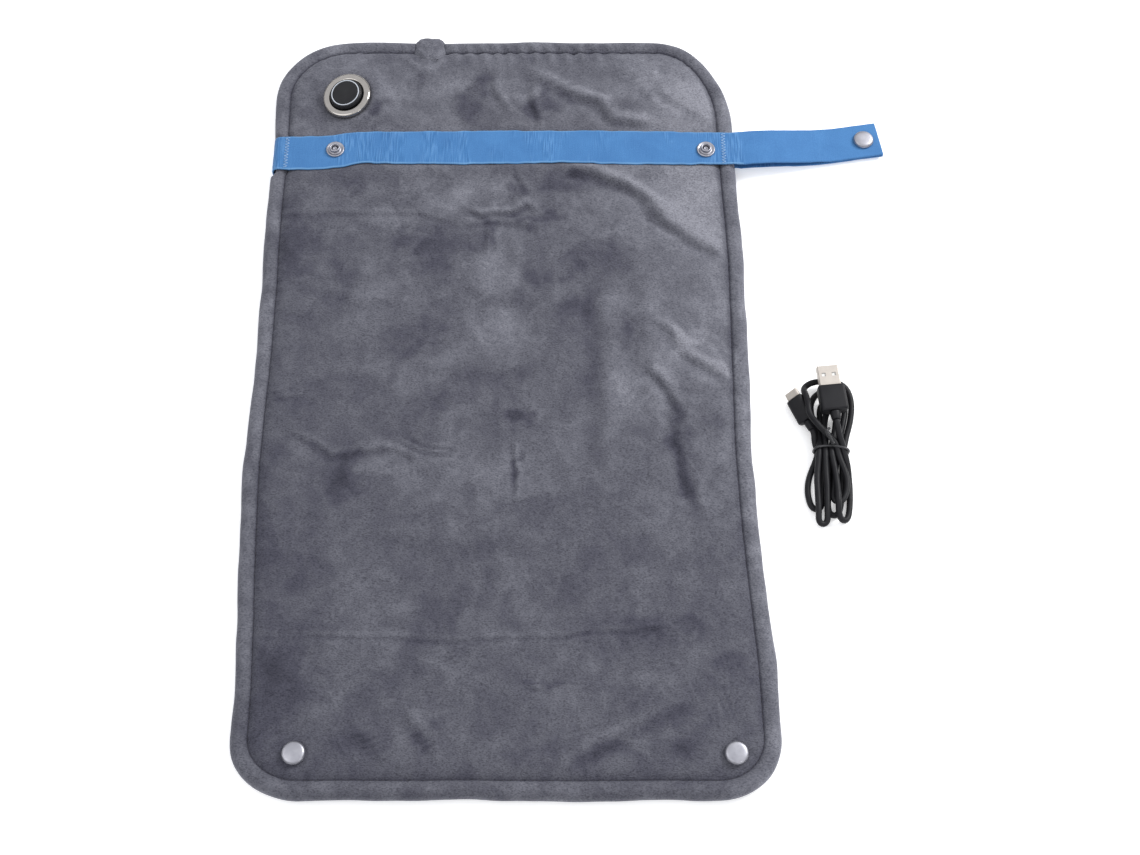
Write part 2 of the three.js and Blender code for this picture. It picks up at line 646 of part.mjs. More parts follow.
// wire tie around the waist, a closed loop across the hank
function tieLoop() {
  const outer = roundedRectangle(21, HANK_HEIGHT - 0.2, 3.4);
  const inner = roundedRectangle(21 - 2 * TIE_DIAMETER, HANK_HEIGHT - 0.2 - 2 * TIE_DIAMETER, 1.8);
  outer.holes.push(new THREE.Path(inner.getPoints(CURVE_STEPS)));
  const geometry = new THREE.ExtrudeGeometry(outer, {
    depth: TIE_DIAMETER,
    bevelEnabled: false,
    curveSegments: CURVE_STEPS,
  });
  return geometry.rotateX(Math.PI / 2).translate(0, TIE_DIAMETER / 2, HANK_HEIGHT / 2);
}

addPadLayers();
addHeating();
addBelt();
addCornerSnaps();
addTail();
addController();
addInlet();
addCable();

export default group;
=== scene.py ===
"""Looks of a small plush heating wrap with an elastic snap belt and a loose supply cable.

Lengths in the tables and shape functions below are millimetres in the row frame; every mesh is
turned into metres when it is made. +X is the loose end of the belt, +Y the controller end, +Z up.
"""
import json
import math

import bmesh
import bpy
import numpy as np
from mathutils import Matrix, Vector


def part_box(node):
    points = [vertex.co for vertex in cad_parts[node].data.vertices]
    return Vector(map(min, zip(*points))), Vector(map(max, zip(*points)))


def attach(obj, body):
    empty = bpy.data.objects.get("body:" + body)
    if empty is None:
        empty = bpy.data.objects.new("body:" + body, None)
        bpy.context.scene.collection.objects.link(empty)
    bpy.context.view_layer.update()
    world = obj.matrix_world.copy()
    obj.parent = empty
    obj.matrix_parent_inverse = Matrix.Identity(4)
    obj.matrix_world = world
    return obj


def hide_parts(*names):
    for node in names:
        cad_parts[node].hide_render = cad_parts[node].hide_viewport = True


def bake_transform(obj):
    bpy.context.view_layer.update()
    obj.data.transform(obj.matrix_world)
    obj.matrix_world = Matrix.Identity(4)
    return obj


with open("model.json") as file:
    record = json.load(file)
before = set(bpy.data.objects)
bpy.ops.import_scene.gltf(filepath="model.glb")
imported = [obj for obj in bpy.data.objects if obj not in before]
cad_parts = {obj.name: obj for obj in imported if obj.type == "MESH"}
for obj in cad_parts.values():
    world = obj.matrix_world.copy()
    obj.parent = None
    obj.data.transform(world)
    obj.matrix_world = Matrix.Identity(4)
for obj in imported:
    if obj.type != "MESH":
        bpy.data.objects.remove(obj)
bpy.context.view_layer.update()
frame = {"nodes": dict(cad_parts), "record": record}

MM = 0.001


# ------------------------------------------------------------------ places from the frame
def node_box(node):
    """Lowest and highest corner of a CAD node, in millimetres."""
    low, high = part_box(node)
    return np.array(low) / MM, np.array(high) / MM


def node_centre(node):
    low, high = node_box(node)
    return (low + high) / 2


def joint(name):
    return next(j for j in frame["record"]["behaviour"]["joints"] if j["name"] == name)


PAD_END = node_box("front_cover_upper")[1][1]
PAD_TOP = node_box("front_cover_lower")[1][2]
PAD_HALF = 143.0
PAD_LEAN = 0.0235
CORNERS = {(-1, -1): (36, 32), (1, -1): (34, 32), (1, 1): (45, 62), (-1, 1): (48, 46)}
FOLD = np.array(joint("pad_fold")["pos_m"]) / MM
TAIL = np.array(joint("tail_swing")["pos_m"]) / MM
PRESS = -Vector(joint("button_press")["axis"]).normalized()
RING_LIFT = 2.05  # from CONTROL out to the middle of the light ring, along the button's axis
CONTROL = node_centre("light_ring") - np.array(PRESS) * RING_LIFT
BELT_Y = node_centre("elastic_band")[1]
BELT_HALF = 12.5
STUDS = [node_centre(f"band_stud_{side}") for side in ("left", "right")]
CAPS = [node_centre(f"corner_cap_{side}") for side in ("left", "right")]
INLET = node_centre("inlet_shell")


# ------------------------------------------------------------------ camera
def make_camera():
    data = bpy.data.cameras.new("camera")
    data.lens = 47.15
    data.sensor_width = 36
    camera = bpy.data.objects.new("camera", data)
    camera.location = (0.038, -0.390, 0.774)
    camera.rotation_euler = (math.radians(25), 0, 0)
    bpy.context.collection.objects.link(camera)
    bpy.context.scene.camera = camera


# ------------------------------------------------------------------ node helpers
class Shader:
    """A material and short ways to add nodes to it."""

    def __init__(self, name, **sockets):
        self.material = bpy.data.materials.new(name)
        self.material.use_nodes = True
        self.tree = self.material.node_tree
        self.main = self.tree.nodes["Principled BSDF"]
        for key, value in sockets.items():
            self.main.inputs[key.replace("_", " ")].default_value = value
        self.place = self.tree.nodes.new("ShaderNodeTexCoord").outputs["Object"]

    def node(self, kind, inputs=None, **settings):
        """A new node. Each input is either another node's output or a plain value."""
        made = self.tree.nodes.new("ShaderNode" + kind)
        for key, value in settings.items():
            setattr(made, key, value)
        for key, value in (inputs or {}).items():
            if isinstance(value, bpy.types.NodeSocket):
                self.tree.links.new(value, made.inputs[key])
            else:
                made.inputs[key].default_value = value
        return made

    def stretched(self, scale):
        return self.node("Mapping", {"Vector": self.place, "Scale": scale}).outputs["Vector"]

    def noise(self, scale, detail=2.0, roughness=0.5, distortion=0.0, vector=None):
        inputs = {
            "Vector": vector or self.place, "Scale": scale, "Detail": detail,
            "Roughness": roughness, "Distortion": distortion,
        }
        return self.node("TexNoise", inputs).outputs["Fac"]

    def ramp(self, value, stops):
        made = self.node("ValToRGB", {"Fac": value})
        elements = made.color_ramp.elements
        while len(elements) < len(stops):
            elements.new(0.5)
        for element, (position, color) in zip(elements, stops):
            element.position = position
            element.color = (*color, 1)
        return made.outputs["Color"]

    def math(self, operation, a, b=0.0):
        return self.node("Math", {0: a, 1: b}, operation=operation).outputs[0]

    def range(self, value, low, high, out_low, out_high, curve="LINEAR"):
        inputs = {"Value": value, "From Min": low, "From Max": high, "To Min": out_low, "To Max": out_high}
        return self.node("MapRange", inputs, interpolation_type=curve).outputs["Result"]

    def tone(self):
        """Light and dark areas stored on the mesh's vertices: painted highlights and shade, and the
        material's own tone and masks.
        """
        return self.node("Attribute", attribute_name="tone").outputs["Fac"]

    def mix(self, factor, a, b, blend="MIX"):
        a, b = (c if isinstance(c, bpy.types.NodeSocket) else (*c, 1) for c in (a, b))
        return self.node("Mix", {0: factor, 6: a, 7: b}, data_type="RGBA", blend_type=blend).outputs[2]

    def color(self, socket):
        self.tree.links.new(socket, self.main.inputs["Base Color"])

    def roughness(self, socket):
        self.tree.links.new(socket, self.main.inputs["Roughness"])

    def bump(self, height, strength, distance):
        previous = self.main.inputs["Normal"].links
        inputs = {"Height": height, "Strength": strength, "Distance": distance}
        if previous:
            inputs["Normal"] = previous[0].from_socket
        made = self.node("Bump", inputs)
        self.tree.links.new(made.outputs["Normal"], self.main.inputs["Normal"])


# ------------------------------------------------------------------ materials
def plush_material():
    """Short crushed pile: brushed areas with soft but definite edges, tufts and a fine grain, plus the
    painted highlights and shade carried in the mesh's tone.
    """
    s = Shader("plush", Roughness=0.95, Sheen_Weight=0.30, Sheen_Roughness=0.45)
    s.main.inputs["Sheen Tint"].default_value = (0.80, 0.82, 0.92, 1)
    s.main.inputs["Specular IOR Level"].default_value = 0.15
    broad = s.noise(17, 3.0, 0.5, 1.0)
    patches = s.noise(50, 3.0, 0.55, 0.9)
    marks = s.noise(1, 2.0, 0.5, 0.5, s.stretched((150, 105, 150)))
    tuft = s.noise(1, 2.0, 0.6, 0.3, s.stretched((420, 560, 420)))
    grain = s.noise(1, 1.5, 0.6, 0.2, s.stretched((900, 1500, 1200)))
    # the mesh's tone: brushed pile patches together with painted highlights and painted shade
    pile_and_painted_light = s.tone()
    layers = ((broad, 0.38, 0.62, 0.30), (patches, 0.38, 0.62, 0.30), (marks, 0.35, 0.65, 0.20))
    for value, low, high, weight in layers:
        pile_and_painted_light = s.math("ADD", pile_and_painted_light, s.range(value, low, high, -weight / 2, weight / 2, "SMOOTHSTEP"))
    shade = s.range(pile_and_painted_light, -1.2, 1.2, 0.0, 1.0)
    base = s.ramp(shade, [
        (0.0, (0.036, 0.036, 0.050)), (0.25, (0.060, 0.060, 0.080)), (0.5, (0.094, 0.095, 0.115)),
        (0.75, (0.143, 0.145, 0.170)), (1.0, (0.215, 0.217, 0.248)),
    ])
    speck = s.ramp(grain, [(0.30, (0.60, 0.60, 0.62)), (0.48, (1.0, 1.0, 1.0)), (0.72, (1.24, 1.24, 1.23))])
    base = s.mix(1.0, base, speck, "MULTIPLY")
    clump = s.ramp(tuft, [(0.3, (0.90, 0.90, 0.91)), (0.7, (1.09, 1.09, 1.08))])
    s.color(s.mix(1.0, base, clump, "MULTIPLY"))
    s.bump(patches, 0.25, 0.003)
    s.bump(tuft, 0.45, 0.0009)
    s.bump(grain, 0.8, 0.0005)
    return s.material


def webbing_material():
    """Woven elastic: a fine weave, clusters of fine cross ripples and a painted highlight along the
    selvedges.
    """
    s = Shader("belt_webbing", Roughness=0.8, Sheen_Weight=0.12, Sheen_Roughness=0.4)
    s.main.inputs["Specular IOR Level"].default_value = 0.25
    ripples = s.noise(1, 0.0, 0.5, 0.2, s.stretched((1500, 105, 66)))
    clusters = s.noise(1, 2.0, 0.5, 0.3, s.stretched((60, 26, 26)))
    clusters = s.range(clusters, 0.46, 0.60, 0.10, 1.0, "SMOOTHSTEP")
    clusters = s.math("MULTIPLY", clusters, s.range(s.tone(), -1.0, 0.0, 0.12, 1.0))
    weave = s.noise(1, 2.0, 0.6, 0.0, s.stretched((1900, 1300, 1300)))
    patch = s.noise(60, 3.0, 0.55, 0.5)
    dark, middle, light = (0.044, 0.152, 0.355), (0.056, 0.176, 0.395), (0.084, 0.220, 0.455)
    rippled = s.ramp(ripples, [(0.36, dark), (0.5, middle), (0.64, light)])
    base = s.mix(clusters, middle, rippled)
    tone = s.ramp(patch, [(0.3, (0.90, 0.92, 0.94)), (0.7, (1.09, 1.07, 1.05))])
    base = s.mix(1.0, base, tone, "MULTIPLY")
    thread = s.ramp(weave, [(0.3, (0.88, 0.90, 0.92)), (0.7, (1.12, 1.10, 1.08))])
    base = s.mix(1.0, base, thread, "MULTIPLY")
    # the tone mixes in a lighter blue: a painted highlight along the selvedges
    s.color(s.mix(s.tone(), base, (0.155, 0.330, 0.560)))
    s.bump(s.math("MULTIPLY", ripples, clusters), 0.5, 0.0006)
    s.bump(weave, 0.35, 0.0003)
    return s.material


def thread_material(name, dark, light):
    s = Shader(name, Roughness=0.8)
    twist = s.noise(2600, 1.0)
    s.color(s.ramp(twist, [(0.35, dark), (0.65, light)]))
    s.bump(twist, 0.4, 0.0002)
    return s.material


def metal_material(name, low, high, roughness, scratch=0.06, metallic=1.0):
    s = Shader(name, Metallic=metallic)
    brushed = s.noise(1, 3.0, 0.6, 0.0, s.stretched((900, 900, 2600)))
    stain = s.noise(240, 3.0, 0.55)
    s.color(s.ramp(stain, [(0.35, low), (0.65, high)]))
    s.roughness(s.range(brushed, 0.3, 0.7, roughness - scratch, roughness + scratch))
    s.bump(brushed, 0.08, 0.0002)
    return s.material


def plastic_material(name, low, high, roughness, grain_scale=1800, bump=0.12, specular=0.5):
    s = Shader(name)
    s.main.inputs["Specular IOR Level"].default_value = specular
    grain = s.noise(grain_scale, 3.0, 0.6)
    wear = s.noise(90, 2.0, 0.5)
    s.color(s.ramp(wear, [(0.35, low), (0.65, high)]))
    s.roughness(s.range(grain, 0.3, 0.7, roughness - 0.06, roughness + 0.06))
    s.bump(grain, bump, 0.0002)
    return s.material


def felt_material(name, low, high, scale):
    s = Shader(name, Roughness=0.95, Sheen_Weight=0.2)
    fibre = s.noise(scale, 4.0, 0.7, 1.5)
    s.color(s.ramp(fibre, [(0.3, low), (0.7, high)]))
    s.bump(fibre, 0.6, 0.001)
    return s.material


def floor_material():
    s = Shader("floor", Roughness=0.9, Emission_Strength=0.34)
    s.main.inputs["Emission Color"].default_value = (1, 1, 1, 1)
    s.main.inputs["Specular IOR Level"].default_value = 0.1
    mottle = s.noise(3, 2.0)
    s.color(s.ramp(mottle, [(0.4, (0.93, 0.93, 0.935)), (0.6, (0.95, 0.95, 0.95))]))
    return s.material


MATERIALS = {
    "plush": plush_material(),
    "wadding": felt_material("wadding", (0.70, 0.69, 0.65), (0.86, 0.85, 0.81), 420),
    "carrier_felt": felt_material("carrier_felt", (0.03, 0.03, 0.036), (0.06, 0.06, 0.07), 700),
    "wire_insulation": plastic_material("wire_insulation", (0.40, 0.04, 0.035), (0.48, 0.06, 0.05), 0.45),
    "belt_webbing": webbing_material(),
    "nickel": metal_material("nickel", (0.37, 0.37, 0.41), (0.44, 0.44, 0.48), 0.46),
    "bezel_nickel": metal_material("bezel_nickel", (0.42, 0.395, 0.37), (0.46, 0.435, 0.41), 0.17, 0.01),
    "black_plastic": plastic_material(
        "black_plastic", (0.010, 0.010, 0.012), (0.016, 0.016, 0.018), 0.45, specular=0.28,
    ),
    "ring_lens": plastic_material("ring_lens", (0.50, 0.53, 0.58), (0.58, 0.61, 0.66), 0.35),
    "circuit_green": plastic_material("circuit_green", (0.015, 0.10, 0.035), (0.025, 0.15, 0.05), 0.4),
    "white_plastic": plastic_material("white_plastic", (0.74, 0.74, 0.72), (0.80, 0.80, 0.78), 0.4),
    "cord_rubber": plastic_material(
        "cord_rubber", (0.008, 0.008, 0.010), (0.013, 0.013, 0.015), 0.50, 900, 0.1, 0.22,
    ),
    "plug_shell": metal_material("plug_shell", (0.48, 0.44, 0.40), (0.52, 0.48, 0.435), 0.48, 0.04, 0.6),
    "tie_plastic": plastic_material("tie_plastic", (0.022, 0.022, 0.024), (0.040, 0.040, 0.044), 0.34),
}
RIM_THREAD = thread_material("rim_thread", (0.022, 0.022, 0.028), (0.050, 0.050, 0.060))
BELT_THREAD = thread_material("belt_thread", (0.08, 0.20, 0.42), (0.34, 0.50, 0.70))


# ------------------------------------------------------------------ mesh helpers
def piece(name, points, faces, slot, body, replaces=(), material=None, smooth=True, blend=None, tone=None):
    """A visible mesh from points in millimetres, riding on a body, or fixed in place in world space when a
    blend is given.
    """
    mesh = bpy.data.meshes.new(name)
    mesh.from_pydata((np.asarray(points, float) * MM).tolist(), [], [list(map(int, f)) for f in faces])
    mesh.validate()
    mesh.update()
    made = bpy.data.objects.new(name, mesh)
    bpy.context.collection.objects.link(made)
    mesh.materials.append(material or MATERIALS[slot])
    if tone is not None:
        mesh.attributes.new("tone", "FLOAT", "POINT").data.foreach_set("value", np.asarray(tone, np.float32))
    if smooth:
        mesh.shade_smooth()
    settle(made, body, replaces, blend)
    return made


def settle(made, body, replaces=(), blend=None):
    """Puts a finished piece on its body, or fixes it in place in world space when a blend is given, and hides
    the CAD parts it stands for.
    """
    if blend:
        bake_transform(made)
    else:
        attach(made, body)
    if replaces:
        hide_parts(*replaces)


def grid_faces(rows, columns, close_rows=False, close_columns=False, start=0):
    """Quads over rows by columns of points."""
    faces = []
    for i in range(rows if close_rows else rows - 1):
        for j in range(columns if close_columns else columns - 1):
            a, b = i * columns + j, i * columns + (j + 1) % columns
            c, d = ((i + 1) % rows) * columns + (j + 1) % columns, ((i + 1) % rows) * columns + j
            faces.append((start + a, start + b, start + c, start + d))
    return faces


def joined(parts):
    """Several (points, faces) lists as one."""
    points, faces, offset = [], [], 0
    for part_points, part_faces in parts:
        points.append(np.asarray(part_points, float))
        faces.extend(tuple(i + offset for i in face) for face in part_faces)
        offset += len(part_points)
    return np.vstack(points), faces


def smoothstep(low, high, value):
    t = np.clip((value - low) / (high - low), 0, 1)
    return t * t * (3 - 2 * t)


def waves(x, y, size, seed, count=14):
    """Smooth seeded noise between about -1 and 1 with features of that size."""
    random = np.random.default_rng(seed)
    total = np.zeros_like(x, float)
    for _ in range(count):
        angle = random.uniform(0, math.tau)
        pitch = size * random.uniform(0.75, 1.5)
        phase = random.uniform(0, math.tau)
        total += np.cos(math.tau * (x * math.cos(angle) + y * math.sin(angle)) / pitch + phase)
    return total / math.sqrt(count)


def turned(profile, segments=72):
    """A turned piece about +Z from (radius, height) pairs that start and end on the axis or close."""
    points, faces = [], []
    closed = profile[0] == profile[-1]
    rows = profile[:-1] if closed else profile
    index = []
    for radius, height in rows:
        if radius < 1e-6:
            index.append([len(points)])
            points.append((0, 0, height))
            continue
        index.append(list(range(len(points), len(points) + segments)))
        for k in range(segments):
            angle = math.tau * k / segments
            points.append((radius * math.cos(angle), radius * math.sin(angle), height))
    pairs = list(zip(index, index[1:] + index[:1] if closed else index[1:]))
    for lower, upper in pairs:
        for k in range(segments):
            n = (k + 1) % segments
            corners = [
                lower[k % len(lower)], lower[n % len(lower)], upper[n % len(upper)], upper[k % len(upper)],
            ]
            face = list(dict.fromkeys(corners))
            if len(face) > 2:
                faces.append(face)
    return np.array(points, float), faces


def rounded_profile(profile, radius, steps=4):
    """The same (radius, height) outline with its inner corners rounded."""
    points = [np.array(p, float) for p in profile]
    closed = profile[0] == profile[-1]
    if closed:
        points = points[:-1]
    result = []
    for i, corner in enumerate(points):
        if not closed and i in (0, len(points) - 1):
            result.append(tuple(corner))
            continue
        before = points[i - 1] - corner
        after = points[(i + 1) % len(points)] - corner
        reach = min(radius, np.linalg.norm(before) * 0.45, np.linalg.norm(after) * 0.45)
        a = corner + before / np.linalg.norm(before) * reach
        b = corner + after / np.linalg.norm(after) * reach
        for t in np.linspace(0, 1, steps):
            result.append(tuple((1 - t) ** 2 * a + 2 * t * (1 - t) * corner + t ** 2 * b))
    if closed:
        result.append(result[0])
    return result


def placed(points, origin, axis=(0, 0, 1), spin=0.0):
    """Points moved so that their +Z lies along axis at origin."""
    turn = Vector((0, 0, 1)).rotation_difference(Vector(axis)).to_matrix()
    turn = turn @ Matrix.Rotation(spin, 3, "Z")
    return np.asarray(points, float) @ np.array(turn).T + np.asarray(origin, float)


def sweep(path, radius, sides=14, caps=True):
    """A round tube along a path of points; radius is a number or one per point."""
    path = np.asarray(path, float)
    radii = np.full(len(path), radius, float) if np.isscalar(radius) else np.asarray(radius, float)
    tangents = np.gradient(path, axis=0)
    tangents /= np.linalg.norm(tangents, axis=1)[:, None]
    side = np.cross(tangents[0], (0.1, 0.2, 1.0))
    side /= np.linalg.norm(side)
    angles = np.arange(sides) * math.tau / sides
    points = []
    for centre, tangent, r in zip(path, tangents, radii):
        side = side - tangent * side.dot(tangent)
        side /= np.linalg.norm(side)
        up = np.cross(tangent, side)
        points.append(centre + r * (np.outer(np.cos(angles), side) + np.outer(np.sin(angles), up)))
    points = np.vstack(points)
    faces = grid_faces(len(path), sides, close_columns=True)
    if caps:
        first, last = len(points), len(points) + 1
        points = np.vstack([points, path[0], path[-1]])
        base = (len(path) - 1) * sides
        for k in range(sides):
            n = (k + 1) % sides
            faces.append((first, n, k))
            faces.append((last, base + k, base + n))
    return points, faces


def through(points, step):
    """A smooth curve through the points, sampled evenly at about that step."""
    points = np.asarray(points, float)
    padded = np.vstack([2 * points[0] - points[1], points, 2 * points[-1] - points[-2]])
    fine = []
    for i in range(1, len(padded) - 2):
        p0, p1, p2, p3 = padded[i - 1:i + 3]
        for t in np.linspace(0, 1, 24, endpoint=False):
            fine.append(0.5 * (2 * p1 + (p2 - p0) * t + (2 * p0 - 5 * p1 + 4 * p2 - p3) * t ** 2
                               + (3 * p1 - p0 - 3 * p2 + p3) * t ** 3))
    fine.append(points[-1])
    return even(np.array(fine), step)


def even(path, step):
    lengths = np.concatenate([[0], np.cumsum(np.linalg.norm(np.diff(path, axis=0), axis=1))])
    count = max(2, int(round(lengths[-1] / step)) + 1)
    where = np.linspace(0, lengths[-1], count)
    return np.column_stack([np.interp(where, lengths, path[:, k]) for k in range(path.shape[1])])


def path_length(path):
    return float(np.linalg.norm(np.diff(path, axis=0), axis=1).sum())


make_camera()


# ------------------------------------------------------------------ plush pad
RIM = 9.5
CORE = 42.0
CORE_X, CORE_Y = 140, 276
RINGS = [
    0, 0.45, 1.1, 1.9, 2.9, 4.0, 5.1, 6.1, 7.0, 7.7, 8.3, 8.8, 9.2, 9.6, 10.0, 10.5, 11.1, 11.9, 13.0, 14.4,
    16.0, 18.0, 20.5, 23.0, 26.0, 29.0, 32.0, 35.5, 39.0,
]
SEAM_Z = 4.6
STITCH = 2.6

# soft folds of the front face: points, height, width, depth of the valley beside them; height and valley
# depth also set each fold's painted highlight and shade
FOLDS = [
    ([(32, 144), (51, 141), (68, 135), (85, 121), (101, 104), (117, 91), (131, 79)], 2.1, 5.0, 2.0),
    ([(12, 216), (26, 208), (42, 199), (58, 191), (68, 181), (90, 176)], 1.8, 4.4, 1.6),
    ([(15, 208), (17, 190), (21, 172)], 1.3, 3.4, 1.3),
    ([(-8, 214), (-5, 199), (0, 184)], 1.2, 3.4, 1.1),
    ([(-74, 190), (-80, 180), (-88, 172)], 1.0, 3.2, 1.0),
    ([(84, 219), (100, 200), (112, 190), (128, 176)], 1.1, 4.5, 0.9),
    ([(68, 221), (85, 205), (97, 188)], 0.9, 4.0, 0.8),
    ([(-146, 110), (-134, 110), (-105, 110), (-88, 110), (-55, 109), (-34, 104)], 0.6, 2.0, 0.6),
    ([(-142, -11), (-128, -12)], 0.8, 1.4, 0.8),
    ([(-144, -15), (-128, -15), (-114, -13)], 0.8, 1.6, 0.8),
    ([(-142, -19), (-130, -18)], 0.7, 1.4, 0.7),
    ([(-119, -35), (-106, -43), (-94, -50), (-79, -46), (-60, -45), (-44, -53)], 1.0, 3.0, 1.1),
    ([(-60, -41), (-46, -47), (-30, -50)], 0.9, 1.6, 0.9),
    ([(-52, -39), (-42, -44), (-28, -46)], 0.8, 1.5, 0.8),
    ([(89, 36), (101, 24), (114, 9), (130, -2)], 1.5, 3.8, 1.3),
    ([(84, 8), (97, -10), (104, -26), (101, -45), (107, -66), (113, -86)], 1.0, 4.2, 1.9),
    ([(58, 62), (60, 20), (61, -30), (58, -66)], 1.0, 8.0, 1.0),
    ([(84, 70), (86, 20), (90, -25)], 0.8, 8.0, 0.7),
    (
        [(-142, -154), (-118, -155), (-82, -155), (-40, -157), (-14, -157), (33, -155), (90, -150)],
        0.6, 1.7, 0.6,
    ),
    ([(-78, -202), (-67, -209), (-56, -219)], 1.2, 3.0, 1.3),
    ([(-44, -196), (-36, -208), (-29, -222)], 1.3, 3.2, 1.3),
    ([(36, -222), (56, -211), (77, -200), (98, -190)], 1.2, 4.0, 1.2),
    ([(84, -218), (104, -203), (130, -184)], 1.0, 3.6, 1.0),
    ([(15, -181), (28, -183)], 0.6, 1.8, 0.9),
    ([(-36, 227), (-46, 221), (-55, 218), (-63, 222), (-67, 227)], 0.9, 2.2, 0.9),
    ([(7, -44), (9, -60), (9, -76)], 0.7, 2.0, 1.0),
    ([(-24, 113), (-15, 109), (-6, 111), (3, 110), (10, 116), (17, 112)], 1.5, 2.6, 1.5),
    ([(-28, 100), (-12, 106), (6, 104), (20, 98)], 0.9, 3.0, 1.0),
    ([(5, 96), (6, 78), (4, 56)], 0.8, 5.0, 0.7),
    ([(-11, 103), (-10, 92), (-12, 82)], 0.7, 2.2, 1.0),
    ([(7, 140), (10, 131), (12, 122)], 0.8, 2.2, 0.8),
    ([(-30, 72), (-10, 58), (20, 50), (44, 52)], 0.5, 7.0, 0.5),
    ([(-120, 62), (-90, 50), (-60, 54)], 0.5, 6.0, 0.5),
    ([(-70, -92), (-40, -100), (0, -98), (36, -106)], 0.5, 7.0, 0.5),
    ([(-60, 12), (-20, 4), (24, 8)], 0.5, 6.0, 0.6),
]

# areas where the pile is brushed lighter or darker, and painted highlights and shade along some folds:
# middle, half sizes, amount
PILE_PATCHES_AND_PAINTED_SHADING = [
    (-39, 119, 14, 9, 0.45), (-4, 126, 9, 7, 0.6), (-68, 104, 16, 6, 0.35), (-5, 70, 12, 20, 0.45),
    (4, 124, 6, 5, -0.7), (-41, 84, 22, 12, -0.65), (16, 60, 12, 10, -0.5), (-10, 97, 4, 9, -0.8),
    (16, 104, 16, 5, -0.6), (-102, 134, 18, 8, -0.45), (-128, 90, 10, 24, -0.4), (-96, 66, 10, 16, -0.5),
    (21, 190, 6, 14, -0.7), (72, 190, 12, 7, -0.5), (32, 131, 14, 7, -0.5), (61, 77, 10, 14, -0.55),
    (-16, 207, 6, 9, -0.7), (10, 200, 6, 9, 0.4), (-38, 206, 14, 9, 0.35), (-25, 189, 5, 13, -0.45),
    (-79, 181, 6, 8, -0.5), (-72, 200, 10, 10, 0.3), (-122, 183, 8, 9, -0.45), (-58, 206, 5, 9, -0.35),
    (39, 73, 8, 8, -0.5), (112, 114, 22, 26, 0.35), (51, 106, 24, 14, 0.2), (110, 193, 16, 14, 0.3),
    (-114, -47, 9, 7, 0.6), (-69, -55, 16, 6, 0.45), (-17, -66, 20, 24, 0.3), (-7, 25, 18, 16, 0.4),
    (11, -29, 8, 4, -0.8), (9, -62, 3, 12, -0.7), (-88, -62, 7, 16, -0.6), (-55, 25, 18, 14, -0.6),
    (-38, -20, 7, 10, -0.4), (-18, -76, 5, 8, -0.4), (103, 20, 9, 9, 0.6), (78, -4, 10, 24, 0.3),
    (122, 2, 12, 5, 0.5), (69, 28, 4, 12, -0.5), (39, 41, 10, 9, -0.5), (102, -44, 7, 30, -0.75),
    (118, -30, 6, 9, -0.4), (-67, -211, 12, 6, -0.4), (-34, -208, 6, 6, -0.5), (23, -182, 9, 3, -0.7),
    (-113, -177, 12, 12, -0.45), (-48, -215, 8, 7, 0.45), (-88, -137, 18, 12, 0.3),
    (-18, -166, 16, 10, 0.3), (91, -153, 14, 7, -0.7), (124, -171, 8, 5, -0.7), (54, -216, 16, 5, -0.5),
    (90, -216, 16, 5, -0.5), (72, -211, 16, 6, 0.35), (133, -193, 7, 9, 0.35), (76, -179, 20, 10, 0.3),
]


def bump(value):
    """A round hump that is 1 at 0 and fades to 0 at -1 and 1."""
    return np.where(np.abs(value) < 1, np.cos(np.clip(value, -1, 1) * math.pi / 2) ** 2, 0)


def belt_bow(x):
    """How far the belt's front run sags or rises from its straight line."""
    return 3.9 * smoothstep(-119, -84, x) - 1.8 + 0.6 * bump((x - 25) / 60) - 0.7 * smoothstep(60, 143, x)


def belt_rear_bow(x):
    """The same for the rear run, which climbs behind the loose end."""
    return belt_bow(x) + 5.0 * smoothstep(80, 143, x)


def leaned(points):
    """Plan points moved sideways with the soft outline's lean, its slight bow and the belt's pull."""
    moved = np.array(points, float)
    x, y = moved[:, 0], moved[:, 1]
    widened = x * (1 + 0.007 * bump((y - 85) / 75))
    shifted = widened - PAD_LEAN * y - 3.3 * bump((y + 62) / 135)
    pulled = np.where(shifted < -126, -126 + (shifted + 126) * 0.872, shifted)
    off = np.abs(y - BELT_Y + 1.8)
    pinch = 1 - smoothstep(BELT_HALF + 0.1, BELT_HALF + 2.6, off)
    moved[:, 0] = shifted + (pulled - shifted) * pinch
    return moved


def pad_outline():
    """Corner-to-corner runs of the outline as dense points, starting at the middle of each corner."""
    half, end = PAD_HALF, PAD_END
    arcs = {}
    for (sx, sy), (rx, ry) in CORNERS.items():
        angle = np.linspace(0, math.pi / 2, 61)
        x = sx * (half - rx + rx * np.cos(angle))
        y = sy * (end - ry + ry * np.sin(angle))
        arcs[(sx, sy)] = np.column_stack([x, y])
    bottom_left, bottom_right = arcs[(-1, -1)], arcs[(1, -1)]
    top_right, top_left = arcs[(1, 1)], arcs[(-1, 1)]
    middle = 30
    return [
        np.vstack([bottom_left[middle:], bottom_right[::-1][:-middle]]),
        np.vstack([bottom_right[:middle + 1][::-1], top_right[:middle + 1]]),
        np.vstack([top_right[middle:], top_left[::-1][:-middle]]),
        np.vstack([top_left[:middle + 1][::-1], bottom_left[:middle + 1]]),
    ]


